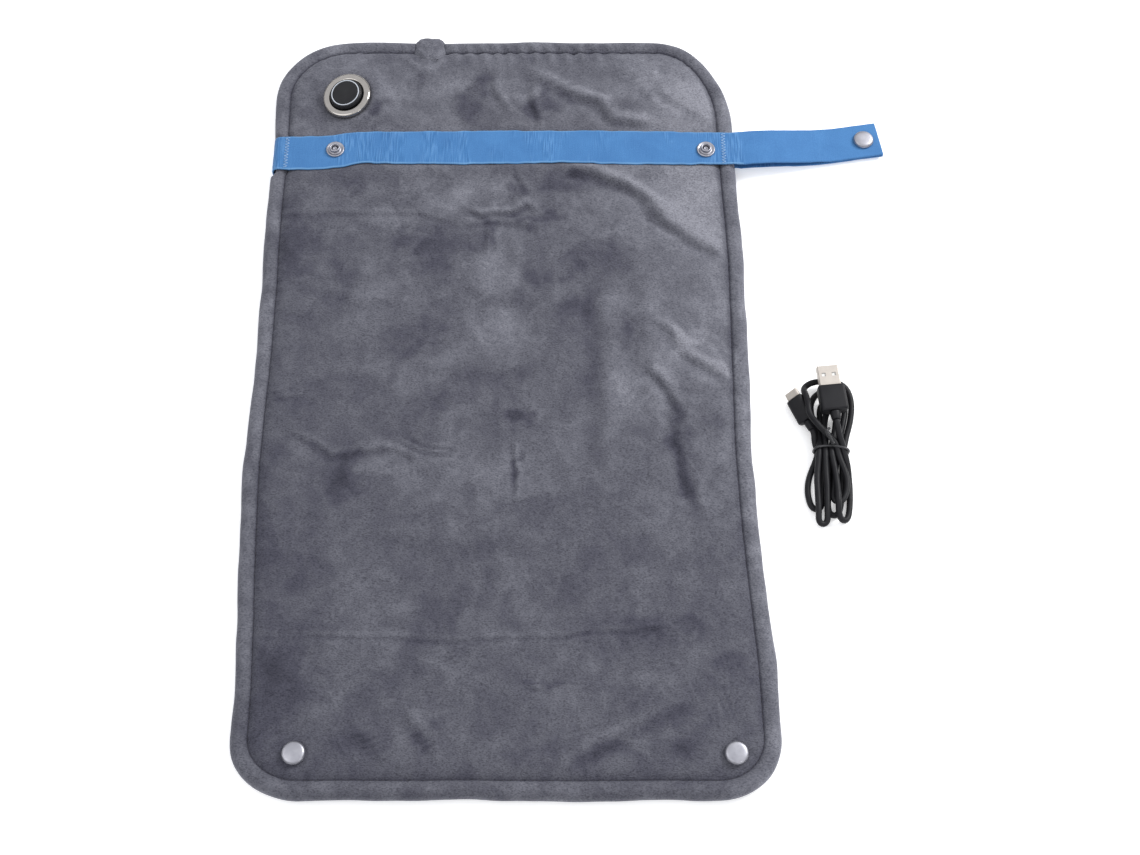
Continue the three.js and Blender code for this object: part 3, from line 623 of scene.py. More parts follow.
def pad_plan():
    """Plan positions, distance in from the edge and place along the edge of every pad vertex."""
    counts = [CORE_X, CORE_Y, CORE_X, CORE_Y]
    edge = []
    for run, count in zip(pad_outline(), counts):
        length = path_length(run)
        edge.append(even(run, length / count)[:-1])
    edge = np.vstack(edge)
    ahead, behind = np.roll(edge, -1, axis=0), np.roll(edge, 1, axis=0)
    tangent = ahead - behind
    tangent /= np.linalg.norm(tangent, axis=1)[:, None]
    inward = np.column_stack([-tangent[:, 1], tangent[:, 0]])
    steps = np.linalg.norm(ahead - edge, axis=1)
    along = np.concatenate([[0], np.cumsum(steps)[:-1]])
    total = steps.sum()

    xs = np.linspace(-PAD_HALF + CORE, PAD_HALF - CORE, CORE_X + 1)
    ys = np.linspace(-PAD_END + CORE, PAD_END - CORE, CORE_Y + 1)
    core_edge = np.vstack([
        np.column_stack([xs[:-1], np.full(CORE_X, ys[0])]),
        np.column_stack([np.full(CORE_Y, xs[-1]), ys[:-1]]),
        np.column_stack([xs[1:][::-1], np.full(CORE_X, ys[-1])]),
        np.column_stack([np.full(CORE_Y, xs[0]), ys[1:][::-1]]),
    ])
    turns = math.tau * along / total
    wobble = np.zeros(len(edge))
    for cycles, size in ((9, 0.35), (17, 0.3), (29, 0.2), (43, 0.12), (71, 0.06)):
        wobble += size * np.cos(cycles * turns + cycles * 1.7)
    plan, depth, place = [], [], []
    for distance in RINGS:
        straight = edge + inward * (distance + wobble * max(0, 1 - distance / 14))[:, None]
        drawn = edge + (core_edge - edge) * (distance / CORE)
        share = smoothstep(13, 36, distance)
        plan.append(straight * (1 - share) + drawn * share)
        depth.append(np.full(len(edge), float(distance)))
        place.append(along)
    grid_x, grid_y = np.meshgrid(xs, ys)
    plan.append(np.column_stack([grid_x.ravel(), grid_y.ravel()]))
    depth.append(np.full(grid_x.size, CORE))
    place.append(np.zeros(grid_x.size))
    return np.vstack(plan), np.concatenate(depth), np.concatenate(place), len(edge), total


def pad_faces(ring):
    """Quads of the rings and the core, wound to face up."""
    faces = grid_faces(len(RINGS), ring, close_columns=True)
    core = len(RINGS) * ring
    row = CORE_X + 1
    edge = [core + i for i in range(CORE_X)]
    edge += [core + j * row + CORE_X for j in range(CORE_Y)]
    edge += [core + CORE_Y * row + i for i in range(CORE_X, 0, -1)]
    edge += [core + j * row for j in range(CORE_Y, 0, -1)]
    last = (len(RINGS) - 1) * ring
    for k in range(ring):
        n = (k + 1) % ring
        faces.append((last + k, last + n, edge[n], edge[k]))
    faces.extend(grid_faces(CORE_Y + 1, CORE_X + 1, start=core))
    return faces


def beside(x, y, points):
    """Signed distance to a polyline, positive on its left, and the distance along it from its ends."""
    path = np.array(points, float)
    lengths = np.linalg.norm(np.diff(path, axis=0), axis=1)
    starts = np.concatenate([[0], np.cumsum(lengths)])
    best = np.full(x.shape, 1e9)
    side = np.zeros_like(best)
    along = np.zeros_like(best)
    for (ax, ay), (bx, by), length, start in zip(path, path[1:], lengths, starts):
        dx, dy = (bx - ax) / length, (by - ay) / length
        t = (x - ax) * dx + (y - ay) * dy
        clamped = np.clip(t, 0, length)
        gap = np.hypot(x - ax - clamped * dx, y - ay - clamped * dy)
        closer = gap < best
        best = np.where(closer, gap, best)
        side = np.where(closer, np.sign(dx * (y - ay) - dy * (x - ax)), side)
        along = np.where(closer, start + t, along)
    return best * side, np.minimum(along, starts[-1] - along)


def folds(x, y):
    """Height that the soft folds add to the front face, and the painted highlight on their ridges and painted
    shade in the valleys beside them.
    """
    total = np.zeros_like(x)
    tone = np.zeros_like(x)
    shift = 1.0 * waves(x, y, 30, 5)
    for points, height, width, valley in FOLDS:
        off, inside = beside(x + shift, y + 0.7 * shift, points)
        fade = smoothstep(-width * 1.5, width * 3, inside)
        near = np.exp(-(off / width) ** 2)
        low = np.exp(-((off + 1.5 * width) / (0.9 * width)) ** 2)
        total += fade * (height * near - valley * low)
        # painted highlight along the ridge and painted shade in the valley beside it
        lit = np.exp(-((off - 0.3 * width) / (0.8 * width)) ** 2)
        shaded = np.exp(-((off + 1.15 * width) / (0.75 * width)) ** 2)
        tone += fade * (0.34 * height * lit - 0.32 * valley * shaded)
    return total, tone


def pile_tone_and_painted_light(x, y, depth):
    """Lighter and darker areas of the pile, with painted highlights, painted shade and a painted light
    falloff, in doublings of brightness.
    """
    across = x + 3.5 * waves(x, y, 24, 11) + 1.9 * waves(x, y, 9, 12)
    along = y + 3.0 * waves(x, y, 22, 13) + 1.8 * waves(x, y, 8, 14)
    tone = np.zeros_like(x)
    for middle_x, middle_y, half_x, half_y, amount in PILE_PATCHES_AND_PAINTED_SHADING:
        reach = ((across - middle_x) / half_x) ** 2 + ((along - middle_y) / half_y) ** 2
        tone += (1.2 - 0.4 * (middle_y < -120)) * amount * np.exp(-0.8 * reach ** 1.5)
    # painted light falloff: lighter towards the right and the top, darker towards the bottom and the left
    tone += 0.58 * smoothstep(40, 122, x) * smoothstep(-110, 50, y)
    tone += 0.15 * smoothstep(-10, 180, y) - 0.14 * (1 - smoothstep(-170, -50, y))
    tone -= 0.28 * (1 - smoothstep(-135, -70, x)) * (1 - smoothstep(60, 150, y))
    # painted highlights on the fold ridges and painted shade in their valleys
    tone += folds(x, y)[1]
    tone = tone * smoothstep(RIM - 0.5, RIM + 4, depth)
    # painted highlight on the rolled rim, brighter towards the top and strongest along the right side, with a
    # random tone
    rim = 1 - smoothstep(RIM - 1.6, RIM - 0.4, depth)
    tone += rim * (0.10 + 0.18 * smoothstep(-215, -60, y) + 0.12 * waves(x, y, 16, 15))
    tone += rim * 0.30 * smoothstep(120, 140, x) + rim * 0.06 * (1 - smoothstep(-150, -138, x))
    # painted highlight and shade on the gathered scallops along the top edge
    tone += 0.22 * gathers(x, y) * smoothstep(1, 5, depth)
    # painted shade in the stitched groove, and softer painted shade just inside it
    tone -= 1.1 * np.exp(-((depth - RIM - 0.1) / 0.36) ** 2)
    tone -= 0.22 * np.exp(-((depth - RIM - 1.2) / 1.6) ** 2)
    return tone


def rim_height(depth):
    """The rolled rim, its stitched groove and the start of the padded field."""
    # heights of the roll and the groove, the roll's width, and where it starts down into the groove
    crest, groove, width, shoulder = 10.5, 8.0, 4.9, 5.4
    rolled = SEAM_Z + (crest - SEAM_Z) * np.sqrt(1 - (1 - np.clip(depth / width, 0, 1)) ** 2)
    outside = groove + (rolled - groove) * np.clip((RIM - depth) / (RIM - shoulder), 0, 1) ** 0.55
    inside = groove + (PAD_TOP - 0.3 - groove) * (1 - np.exp(-np.clip(depth - RIM, 0, None) / 3.0))
    return np.where(depth < shoulder, rolled, np.where(depth < RIM, outside, inside))


def puckers(depth, along, total):
    """Small gathers that the stitches draw in along the rim."""
    turns = math.tau * along / total
    wave = np.zeros_like(along)
    for cycles, size in ((197, 0.5), (231, 0.4), (143, 0.4), (281, 0.25), (89, 0.35)):
        wave += size * np.cos(cycles * turns + 0.9 * cycles)
    strength = 0.5 + 0.5 * np.cos(7 * turns + 1.0) * np.cos(11 * turns)
    near = np.exp(-((depth - RIM) / 4.5) ** 2)
    return wave * (0.22 + 0.25 * strength) * near


def gathers(x, y):
    """Scallops where the plush is gathered along the top edge, from -1 to 1."""
    reach = smoothstep(218, 226, y) * smoothstep(-58, -44, x) * (1 - smoothstep(58, 80, x))
    return reach * np.cos(math.tau * (x + 0.25 * (y - 230) + 1.5 * np.sin(x / 13)) / 9.0)


def tilted_height(x, y, drop):
    """Height of the plane drop millimetres down the controller's axis, and the distance from that axis."""
    nx, ny, nz = PRESS
    dx, dy = x - CONTROL[0], y - CONTROL[1]
    z = CONTROL[2] + (drop - nx * dx - ny * dy) / nz
    dz = z - CONTROL[2]
    reach = np.sqrt(np.maximum(dx ** 2 + dy ** 2 + dz ** 2 - (dx * nx + dy * ny + dz * nz) ** 2, 0))
    return z, reach


def socket_notch(x, y):
    """1 where the pad's edge makes room for the supply socket, 0 elsewhere."""
    return smoothstep(232.6, 234.0, y) * (1 - smoothstep(7.9, 8.9, np.abs(x - INLET[0])))


def front_height(x, y, depth, along, total):
    """The front face of the plush: x and y in the leaned frame."""
    z = rim_height(depth)
    field = smoothstep(RIM, 24, depth)
    z = z + field * (0.32 * waves(x, y, 62, 1) + 0.22 * waves(x, y, 27, 2))
    z = z + smoothstep(0.5, 6, depth) * 0.12 * waves(x, y, 9, 3)
    z = z + smoothstep(RIM - 1.5, RIM + 9, depth) * folds(x, y)[0]
    z = z + puckers(depth, along, total)
    z = z + 0.7 * gathers(x, y) * smoothstep(2, 8, depth)
    for cap in CAPS:
        reach = np.hypot(x - cap[0], y - cap[1])
        angle = np.arctan2(y - cap[1], x - cap[0])
        z = z - 1.1 * np.exp(-(reach / 8.5) ** 2)
        z = z + 0.25 * np.cos(6 * angle + cap[0]) * np.exp(-((reach - 10) / 3.5) ** 2)
        z = np.where(reach < 7, np.minimum(z, 11.2), z)
    off = np.abs(y - BELT_Y - belt_bow(x))
    press = 1 - smoothstep(BELT_HALF - 1.4, BELT_HALF + 2.2, off)
    z = z * (1 - press) + np.minimum(z, 10.75) * press
    beside_belt = np.exp(-((off - 16.5) / 4) ** 2)
    z = z + 0.5 * beside_belt * smoothstep(RIM, 18, depth)
    for stud in STUDS:
        z = z - 0.6 * np.exp(-(np.hypot(x - stud[0], y - stud[1]) / 9) ** 2)
    seat, reach = tilted_height(x, y, -3.15)
    ripple = 0.45 * np.cos(7 * np.arctan2(y - CONTROL[1], x - CONTROL[0]) + 0.5)
    hold = 1 - smoothstep(16.5, 31, reach + 1.5 * ripple)
    z = z * (1 - hold) + (seat + ripple * smoothstep(15.8, 19, reach)) * hold
    well, _ = tilted_height(x, y, -9.4)
    under_bezel = 1 - smoothstep(14.9, 16.6, reach)
    z = z - 0.9 * under_bezel
    z = np.where(reach < 11.6, np.minimum(well, 6), z)
    notch = socket_notch(x, y)
    return z * (1 - notch) + np.minimum(z, 2.4) * notch


def back_height(x, y, depth):
    """The back face of the plush, flat on the floor but for its rim and the hardware behind it."""
    rolled = SEAM_Z - (SEAM_Z - 0.35) * np.sqrt(1 - (1 - np.clip(depth / 5.2, 0, 1)) ** 2)
    z = rolled + 1.0 * np.exp(-((depth - RIM) / 1.7) ** 2)
    z = z + smoothstep(14, 24, depth) * (0.25 + 0.22 * waves(x, y, 45, 9) ** 2)
    channel = 1 - smoothstep(BELT_HALF + 0.2, BELT_HALF + 3.2, np.abs(y - BELT_Y - belt_rear_bow(x)))
    z = z * (1 - channel) + np.maximum(z, 1.6) * channel
    for cap in CAPS:
        z = np.where(np.hypot(x - cap[0], y - cap[1]) < 7.4, np.maximum(z, 1.7), z)
    return z


def make_pad():
    plan, depth, along, ring, total = pad_plan()
    leaning = leaned(plan)
    x, y = leaning[:, 0], leaning[:, 1]
    gap_x = PAD_HALF - np.abs(plan[:, 0])
    gap_y = PAD_END - np.abs(plan[:, 1])
    depth = np.where(depth >= CORE, np.minimum(gap_x, gap_y), depth)
    top = front_height(x, y, depth, along, total)
    bottom = back_height(x, y, depth)
    notch = socket_notch(x, y)
    bottom = bottom * (1 - notch) + np.minimum(bottom, 0.6) * notch
    bottom = np.minimum(bottom, top - 0.4)
    bottom[:ring] = top[:ring]
    count = len(plan)
    inner = np.arange(count)
    inner[ring:] = np.arange(count - ring) + count
    faces = pad_faces(ring)
    below = [tuple(inner[i] for i in face[::-1]) for face in faces]
    points = np.vstack([
        np.column_stack([x, y, top]),
        np.column_stack([x[ring:], y[ring:], bottom[ring:]]),
    ])
    pad = piece(
        "plush_pad", points, faces + below, "plush", "upper_panel",
        replaces=("front_cover_upper", "front_cover_lower", "back_cover_upper", "back_cover_lower"),
        blend=FOLD_BLEND, tone=np.concatenate([pile_tone_and_painted_light(x, y, depth), np.zeros(count - ring)]),
    )
    first = RINGS.index(9.6) * ring
    make_rim_stitching(points[first:first + ring])


def make_rim_stitching(seam):
    """Single stitches lying in the groove all the way round the rim."""
    path = even(np.vstack([seam, seam[:1]]), STITCH / 5)
    path[:, 2] += 0.12
    parts = [sweep(path[k:k + 5], 0.2, 6) for k in range(0, len(path) - 5, 6)]
    points, faces = joined(parts)
    piece("rim_stitching", points, faces, "plush", "upper_panel", material=RIM_THREAD, blend=FOLD_BLEND)


FOLD_BLEND = {
    "bodies": ("upper_panel", "lower_panel"),
    "start": FOLD * (0, 1, 1) + (0, 14, 0),
    "end": FOLD * (0, 1, 1) - (0, 14, 0),
}
TAIL_BLEND = {
    "bodies": ("upper_panel", "strap_tail"),
    "start": TAIL - (5, 0, 0),
    "end": TAIL + (5.5, 0, 0),
}


# ------------------------------------------------------------------ elastic belt and its loose tail
TAIL_ANGLE = math.radians(9.2)
TAIL_LENGTH = 88.6
TAIL_SLOPE_END = 64.0
BELT_LEFT = node_box("elastic_band")[0][0] + 0.9
BELT_THICK = 1.2


def tail_point(u, height, rise):
    """A point of the tail's middle line at u from its start, with the ribbon's sideways direction."""
    turn = TAIL_ANGLE * smoothstep(-5, 6, np.asarray(u, float))
    x = TAIL[0] + u * math.cos(TAIL_ANGLE)
    y = TAIL[1] + np.maximum(u, 0) * math.sin(TAIL_ANGLE) + rise * (1 - smoothstep(-6, 58, u))
    return np.column_stack([x, y, height]), turn


def belt_route():
    """Middle line of the one strip: tail front, front run, left edge, rear run, tail back."""
    u = np.linspace(TAIL_LENGTH, 0, 60)
    ease = smoothstep(2.3, TAIL_SLOPE_END, u)
    front, front_turn = tail_point(u, 11.6 + (3.9 - 11.6) * ease, belt_bow(143.0))
    back, back_turn = tail_point(u[::-1], 0.62 + (2.4 - 0.62) * ease[::-1], belt_rear_bow(143.0))
    straight = np.arange(TAIL[0] - 1.5, BELT_LEFT + 7, -1.0)
    run = np.column_stack([straight, BELT_Y + belt_bow(straight), np.full(len(straight), 11.6)])
    half = BELT_THICK / 2
    bend = []
    for angle in np.linspace(math.pi / 2, math.pi, 9):
        bend.append((BELT_LEFT + 5 + (5 - half) * math.cos(angle), 6.6 + 5 * math.sin(angle)))
    for angle in np.linspace(math.pi, 1.5 * math.pi, 9):
        bend.append((BELT_LEFT + 5 + (5 - half) * math.cos(angle), 5.62 + 5 * math.sin(angle)))
    bend = np.array(bend)
    wrap = np.column_stack([bend[:, 0], BELT_Y + belt_bow(bend[:, 0]), bend[:, 1]])
    rear_x = straight[::-1]
    rear = np.column_stack([rear_x, BELT_Y + belt_rear_bow(rear_x), np.full(len(rear_x), 0.62)])
    route = np.vstack([front, run, wrap, rear, back])
    flat = np.zeros(len(run) + len(wrap) + len(rear))
    return route, np.concatenate([front_turn, flat, back_turn])


def selvedge(s, seed):
    """An uneven woven edge: long flat stretches with small steps between them."""
    step = np.tanh(4 * (np.sin(s / 15.3 + seed) + 0.7 * np.sin(s / 7.9 + 2.3 * seed)))
    return 0.34 * step + 0.20 * np.sin(s / 3.3 + seed) * np.sin(s / 19.0) + 0.10 * np.sin(s / 1.7 + 3 * seed)


def make_belt():
    route, turn = belt_route()
    tangent = np.gradient(route, axis=0)
    tangent /= np.linalg.norm(tangent, axis=1)[:, None]
    across = np.column_stack([-np.sin(turn), np.cos(turn), np.zeros(len(turn))])
    normal = np.cross(across, tangent)
    normal /= np.linalg.norm(normal, axis=1)[:, None]
    distance = np.concatenate([[0], np.cumsum(np.linalg.norm(np.diff(route, axis=0), axis=1))])
    on_front = distance < distance[-1] / 2
    on_tail = np.minimum(distance, distance[-1] - distance) < TAIL_LENGTH
    slack = smoothstep(0, 30, distance) * 0.35
    share = np.concatenate([
        np.array([-1, -0.972, -0.944, -0.916, -0.888]), np.linspace(-0.84, 0.84, 21),
        np.array([0.888, 0.916, 0.944, 0.972, 1]),
    ])
    thin = np.sqrt(np.clip(1 - (np.abs(share) - 0.93).clip(0) ** 2 / 0.07 ** 2, 0.12, 1))
    # a thin band near each selvedge where the painted highlight goes
    line = np.exp(-((np.abs(share) - 0.955) / 0.034) ** 2)
    rings, tones = [], []
    for i in range(len(route)):
        s = distance[i]
        calm = 0.35 if on_tail[i] else 1.0
        low = -BELT_HALF + 0.45 + calm * selvedge(s, 1.0)
        high = BELT_HALF - 0.35 + calm * 0.7 * selvedge(s, 4.0)
        if on_front[i]:
            rise = 1.1 * math.exp(-((route[i, 0] + 88) / 9) ** 2)
            dip = 0.5 * math.exp(-((route[i, 0] + 62) / 12) ** 2)
            low += rise - dip
        v = (low + high) / 2 + (high - low) / 2 * share
        lift = slack[i] * (0.28 * np.sin(s / 7.1 + v / 9) * np.sin(s / 23) + 0.14 * np.sin(s / 2.9 + v / 3.1))
        lift = np.abs(lift) if on_front[i] else np.zeros(len(v))
        outer = route[i] + np.outer(v, across[i]) + np.outer(lift + BELT_THICK / 2 * thin, normal[i])
        inner = route[i] + np.outer(v, across[i]) + np.outer(lift - BELT_THICK / 2 * thin, normal[i])
        rings.append(np.vstack([outer, inner[::-1]]))
        # painted highlight along the selvedges, stronger on the lower edge; the tail gets -1 instead, which
        # masks its ripples
        glint = line * (0.80 + 0.20 * math.sin(s / 11) * math.sin(s / 4.7)) * calm
        glint = glint * np.where(share < 0, 1, 0.6) - (1.0 if on_tail[i] else 0.0)
        tones.append(np.concatenate([glint, np.zeros(len(v))]))
    sides = len(rings[0])
    points = np.vstack(rings)
    faces = grid_faces(len(rings), sides, close_columns=True)
    faces.append(tuple(range(sides))[::-1])
    faces.append(tuple(range(len(points) - sides, len(points))))
    return piece(
        "elastic_belt", points, faces, "belt_webbing", "upper_panel",
        replaces=("elastic_band", "tail_front_layer", "tail_back_layer"), blend=TAIL_BLEND,
        tone=np.concatenate(tones),
    )


def make_belt_seams():
    """Zig-zag stitching across the belt near both edges of the pad."""
    for side, x in (("left", -136.6), ("right", 132.6)):
        middle = BELT_Y + float(belt_bow(x))
        v = np.arange(-BELT_HALF + 1.4, BELT_HALF - 1.2, 1.05)
        path = np.column_stack([
            x + 1.3 * np.where(np.arange(len(v)) % 2, 1, -1), middle + v, np.full(len(v), 12.34),
        ])
        points, faces = sweep(even(path, 0.5), 0.27, 6)
        piece(f"belt_seam_{side}", points, faces, "belt_webbing", "upper_panel", material=BELT_THREAD)


# ------------------------------------------------------------------ snaps
CAP_DOME = [
    (0, 2.50), (2.2, 2.47), (4.0, 2.36), (5.0, 2.16), (5.6, 1.82), (5.98, 1.30), (6.18, 0.75), (6.22, 0.3),
    (6.05, 0.02), (5.5, 0.0), (1.6, 0.0),
]


def make_cap(name, node, body, depth, origin):
    profile = CAP_DOME + [(1.6, -depth), (0, -depth)]
    profile = rounded_profile(profile[::-1], 0.5, 3)
    points, faces = turned(profile, 96)
    return piece(name, placed(points, origin), faces, "nickel", body, replaces=(node,))


def make_socket(name, node, body):
    low, high = node_box(node)
    middle = (low + high) / 2
    profile = [
        (1.95, 0.0), (2.5, 0.0), (3.1, 0.45), (4.2, 0.45), (4.9, 0.0), (5.6, 0.0), (5.95, 0.35), (5.9, 0.95),
        (5.5, 1.3), (4.6, 1.3), (1.95, 1.3), (1.95, 0.0),
    ]
    points, faces = turned(rounded_profile(profile, 0.18, 4), 72)
    piece(name, placed(points, (middle[0], middle[1], low[2])), faces, "nickel", body, replaces=(node,))


def make_snaps():
    for side, cap in zip(("left", "right"), CAPS):
        seat = node_box(f"corner_cap_{side}")[1][2] - 2.5
        node = f"corner_cap_{side}"
        make_cap(f"corner_cap_dome_{side}", node, "lower_panel", PAD_TOP - 0.6, (cap[0], cap[1], seat))
        make_socket(f"corner_socket_ring_{side}", f"corner_socket_{side}", "lower_panel")
    tail = node_centre("tail_cap")
    seat = node_box("tail_cap")[1][2] - 2.5
    make_cap("tail_cap_dome", "tail_cap", "strap_tail", seat - 0.6, (tail[0], tail[1], seat))
    make_socket("tail_socket_ring", "tail_socket", "strap_tail")


def make_studs():
    """Male halves on the belt: a dished flange with a raised ring knob, and the eyelet through it."""
    flange = [
        (1.9, 1.55), (5.2, 1.5), (5.6, 1.75), (5.62, 2.15), (5.3, 2.5), (4.8, 2.45), (4.0, 2.12), (3.5, 2.12),
        (3.05, 2.5), (2.95, 3.1), (3.25, 3.8), (3.1, 4.25), (2.75, 4.42), (2.35, 4.3), (2.1, 3.9),
        (1.9, 3.5), (1.9, 1.55),
    ]
    eyelet = [
        (0, -0.65), (4.2, -0.68), (4.45, -0.55), (4.4, -0.35), (1.6, -0.32), (1.55, 2.7), (1.2, 3.1),
        (0.75, 3.0), (0.5, 2.5), (0, 2.4),
    ]
    for side, stud in zip(("left", "right"), STUDS):
        base = node_box(f"band_eyelet_{side}")[0][2] + 0.7
        origin = (stud[0], stud[1], base)
        points, faces = turned(rounded_profile(flange, 0.25, 4), 96)
        piece(
            f"stud_{side}", placed(points, origin), faces, "nickel", "upper_panel",
            replaces=(f"band_stud_{side}",),
        )
        points, faces = turned(rounded_profile(eyelet, 0.2, 4), 64)
        piece(
            f"eyelet_{side}", placed(points, origin), faces, "nickel", "upper_panel",
            replaces=(f"band_eyelet_{side}",),
        )


# ------------------------------------------------------------------ controller
def make_controller():
    bezel = [
        (10.75, -3.0), (15.0, -3.0), (15.45, -2.6), (15.5, -1.9), (15.4, -1.25), (15.1, -0.65), (14.6, -0.2),
        (14.0, 0.0), (12.4, -0.06), (11.5, -0.16), (11.0, -0.4), (10.78, -0.8), (10.75, -3.0),
    ]
    points, faces = turned(rounded_profile(bezel, 0.4, 4), 128)
    piece(
        "bezel_polished", placed(points, CONTROL, PRESS), faces, "bezel_nickel", "upper_panel",
        replaces=("bezel_ring",),
    )
    cap = [
        (0, -4.3), (2.4, -4.3), (2.4, -0.1), (7.6, -0.1), (7.6, -5.4), (9.2, -5.4), (9.2, -0.8), (10.1, -0.8),
        (10.3, -0.5), (10.35, 0.3), (10.25, 0.95), (9.95, 1.6), (9.5, 2.0), (9.1, 2.2), (9.0, 1.45),
        (8.2, 1.45), (8.12, 2.3), (7.7, 2.42), (5.0, 2.46), (2.5, 2.42), (0, 2.38),
    ]
    points, faces = turned(rounded_profile(cap, 0.25, 4), 128)
    piece(
        "button_moulding", placed(points, CONTROL, PRESS), faces, "black_plastic", "button",
        replaces=("button_cap",),
    )
    lens = [(8.3, 1.5), (8.95, 1.5), (8.95, 2.2), (8.82, 2.34), (8.43, 2.34), (8.3, 2.2), (8.3, 1.5)]
    points, faces = turned(rounded_profile(lens, 0.1, 3), 96)
    piece(
        "button_light_ring", placed(points, CONTROL, PRESS), faces, "ring_lens", "button",
        replaces=("light_ring",),
    )


# ------------------------------------------------------------------ refined copies of CAD pieces
BODY_OF = {n: body for body, nodes in frame["record"]["behaviour"]["bodies"].items() for n in nodes}
SLOT_OF = {p["node"]: p["material_slot"] for p in frame["record"]["subparts"]}


def refine(node, bevel, segments=3, smooth=True):
    """A copy of a CAD piece with its edges rounded."""
    mesh = frame["nodes"][node].data.copy()
    made = bpy.data.objects.new(node + "_finished", mesh)
    bpy.context.collection.objects.link(made)
    work = bmesh.new()
    work.from_mesh(mesh)
    bmesh.ops.remove_doubles(work, verts=work.verts, dist=2e-6)
    flat = math.radians(2)
    bmesh.ops.dissolve_limit(work, angle_limit=flat, verts=work.verts, edges=work.edges)
    sharp = [e for e in work.edges if len(e.link_faces) == 2 and e.calc_face_angle() > math.radians(28)]
    bmesh.ops.bevel(
        work, geom=sharp, offset=bevel * MM, segments=segments, affect="EDGES", clamp_overlap=True,
        profile=0.5,
    )
    bmesh.ops.recalc_face_normals(work, faces=work.faces)
    work.to_mesh(mesh)
    work.free()
    mesh.materials.clear()
    mesh.materials.append(MATERIALS[SLOT_OF[node]])
    if smooth:
        mesh.shade_smooth()
        mesh.set_sharp_from_angle(angle=math.radians(38))
    else:
        mesh.shade_flat()
    settle(made, BODY_OF[node], (node,))
    return made


def paint_nodes():
    """The procedural finish of each CAD piece that stays as it is."""
    for node, shown in frame["nodes"].items():
        shown.data.materials.clear()
        shown.data.materials.append(MATERIALS[SLOT_OF[node]])


# ------------------------------------------------------------------ supply socket
def make_sleeve():
    """Plush sleeve around the supply socket: a soft hump that grows out of the rim, with a rolled mouth."""
    low, high = node_box("inlet_sleeve")
    middle = (low + high) / 2
    half = (high - low) / 2
    hole = (7.4, 2.95)
    mouth = high[1] - 2.6
    # place along the sleeve, half width, half height, drop of the middle line, roundness
    stations = [
        (low[1] + 0.5, 4.0, 2.2, 0.5, 1), (low[1] + 2, 7.0, 3.6, 0.1, 1), (low[1] + 4, 9.0, 4.6, 0, 1),
        (low[1] + 7, half[0], 5.1, 0, 0.95), (mouth - 4, half[0], 5.1, 0, 0.95),
        (mouth - 2, half[0], 4.9, 0, 0.98), (mouth - 0.8, half[0] - 0.4, 4.5, 0, 0.98),
        (mouth - 0.2, half[0] - 0.9, 4.1, 0, 0.9), (mouth, half[0] - 1.4, 3.8, 0, 0.75),
        (mouth - 0.3, hole[0] + 0.4, hole[1] + 0.2, 0, 0.5), (mouth - 1.4, *hole, 0, 0.45),
        (low[1] + 7, *hole, 0, 0.45),
    ]
    fine = even(np.array(stations), 0.6)
    sides = 96
    angle = np.arange(sides) * math.tau / sides
    cos, sin = np.cos(angle), np.sin(angle)
    rings = []
    for y, a, b, drop, power in fine:
        swell = 0.22 * np.cos(5 * angle + y / 2.2) + 0.15 * np.cos(9 * angle - y / 1.3)
        x = middle[0] + a * np.sign(cos) * np.abs(cos) ** power + swell * cos
        z = middle[2] - drop + b * np.sign(sin) * np.abs(sin) ** power + swell * sin
        bowed = y + 0.6 * (1 - (a * cos / half[0]) ** 2) * smoothstep(mouth - 6, mouth, y)
        rings.append(np.column_stack([x, bowed, np.maximum(z, low[2])]))
    points = np.vstack([*rings, [[middle[0], low[1] + 1.2, middle[2] - 1.6]]])
    faces = [face[::-1] for face in grid_faces(len(fine), sides, close_columns=True)]
    last = len(points) - 1
    faces += [(last, (k + 1) % sides, k) for k in range(sides)]
    faces.append(tuple(range(last - sides, last))[::-1])
    # a lighter tone with random variation, and painted shade along the bottom where the hump meets the floor
    tone = 0.42 + 0.1 * waves(points[:, 0], points[:, 1], 7, 21) - 0.5 * (points[:, 2] < low[2] + 2.5)
    piece(
        "inlet_sleeve_plush", points, faces, "plush", "upper_panel", replaces=("inlet_sleeve",), tone=tone,
    )


def make_refined():
    for node in ("inlet_housing", "inlet_shell"):
        refine(node, 0.15)


# ------------------------------------------------------------------ supply cable
TIE_AT = np.array([185.2, -47.0, 0.0])
HANK_TILT = math.radians(-3.5)
CORD_WIDTH = 3.5
LOBE_STRETCH = 1.055
# how often the strands push each other apart in one round, and how often the bends are smoothed at the end
PUSHES, SMOOTHINGS = 2, 3
# the cord resists a tight bend: this many steps along it never come closer than this chord
BEND_REACH, BEND_CHORD = 6, 5.6
LARGE_PLUG = {"at": (188, -30.9, 14.6), "turn": 5.7, "roll": 0}
SMALL_PLUG = {"at": (175.3, -33, 5.9), "turn": 24, "roll": -40}
# half sizes and the length along the plug where each solid part starts and ends
LARGE_PARTS = [((3.2, 3.2), (0, 4.6)), ((7.65, 3.8), (4.9, 20.9)), ((6.0, 2.25), (21.2, 33.2))]
SMALL_PARTS = [((2.6, 2.6), (0, 5.4)), ((5.2, 3.1), (5.7, 21.3)), ((4.15, 1.25), (21.6, 26.1))]

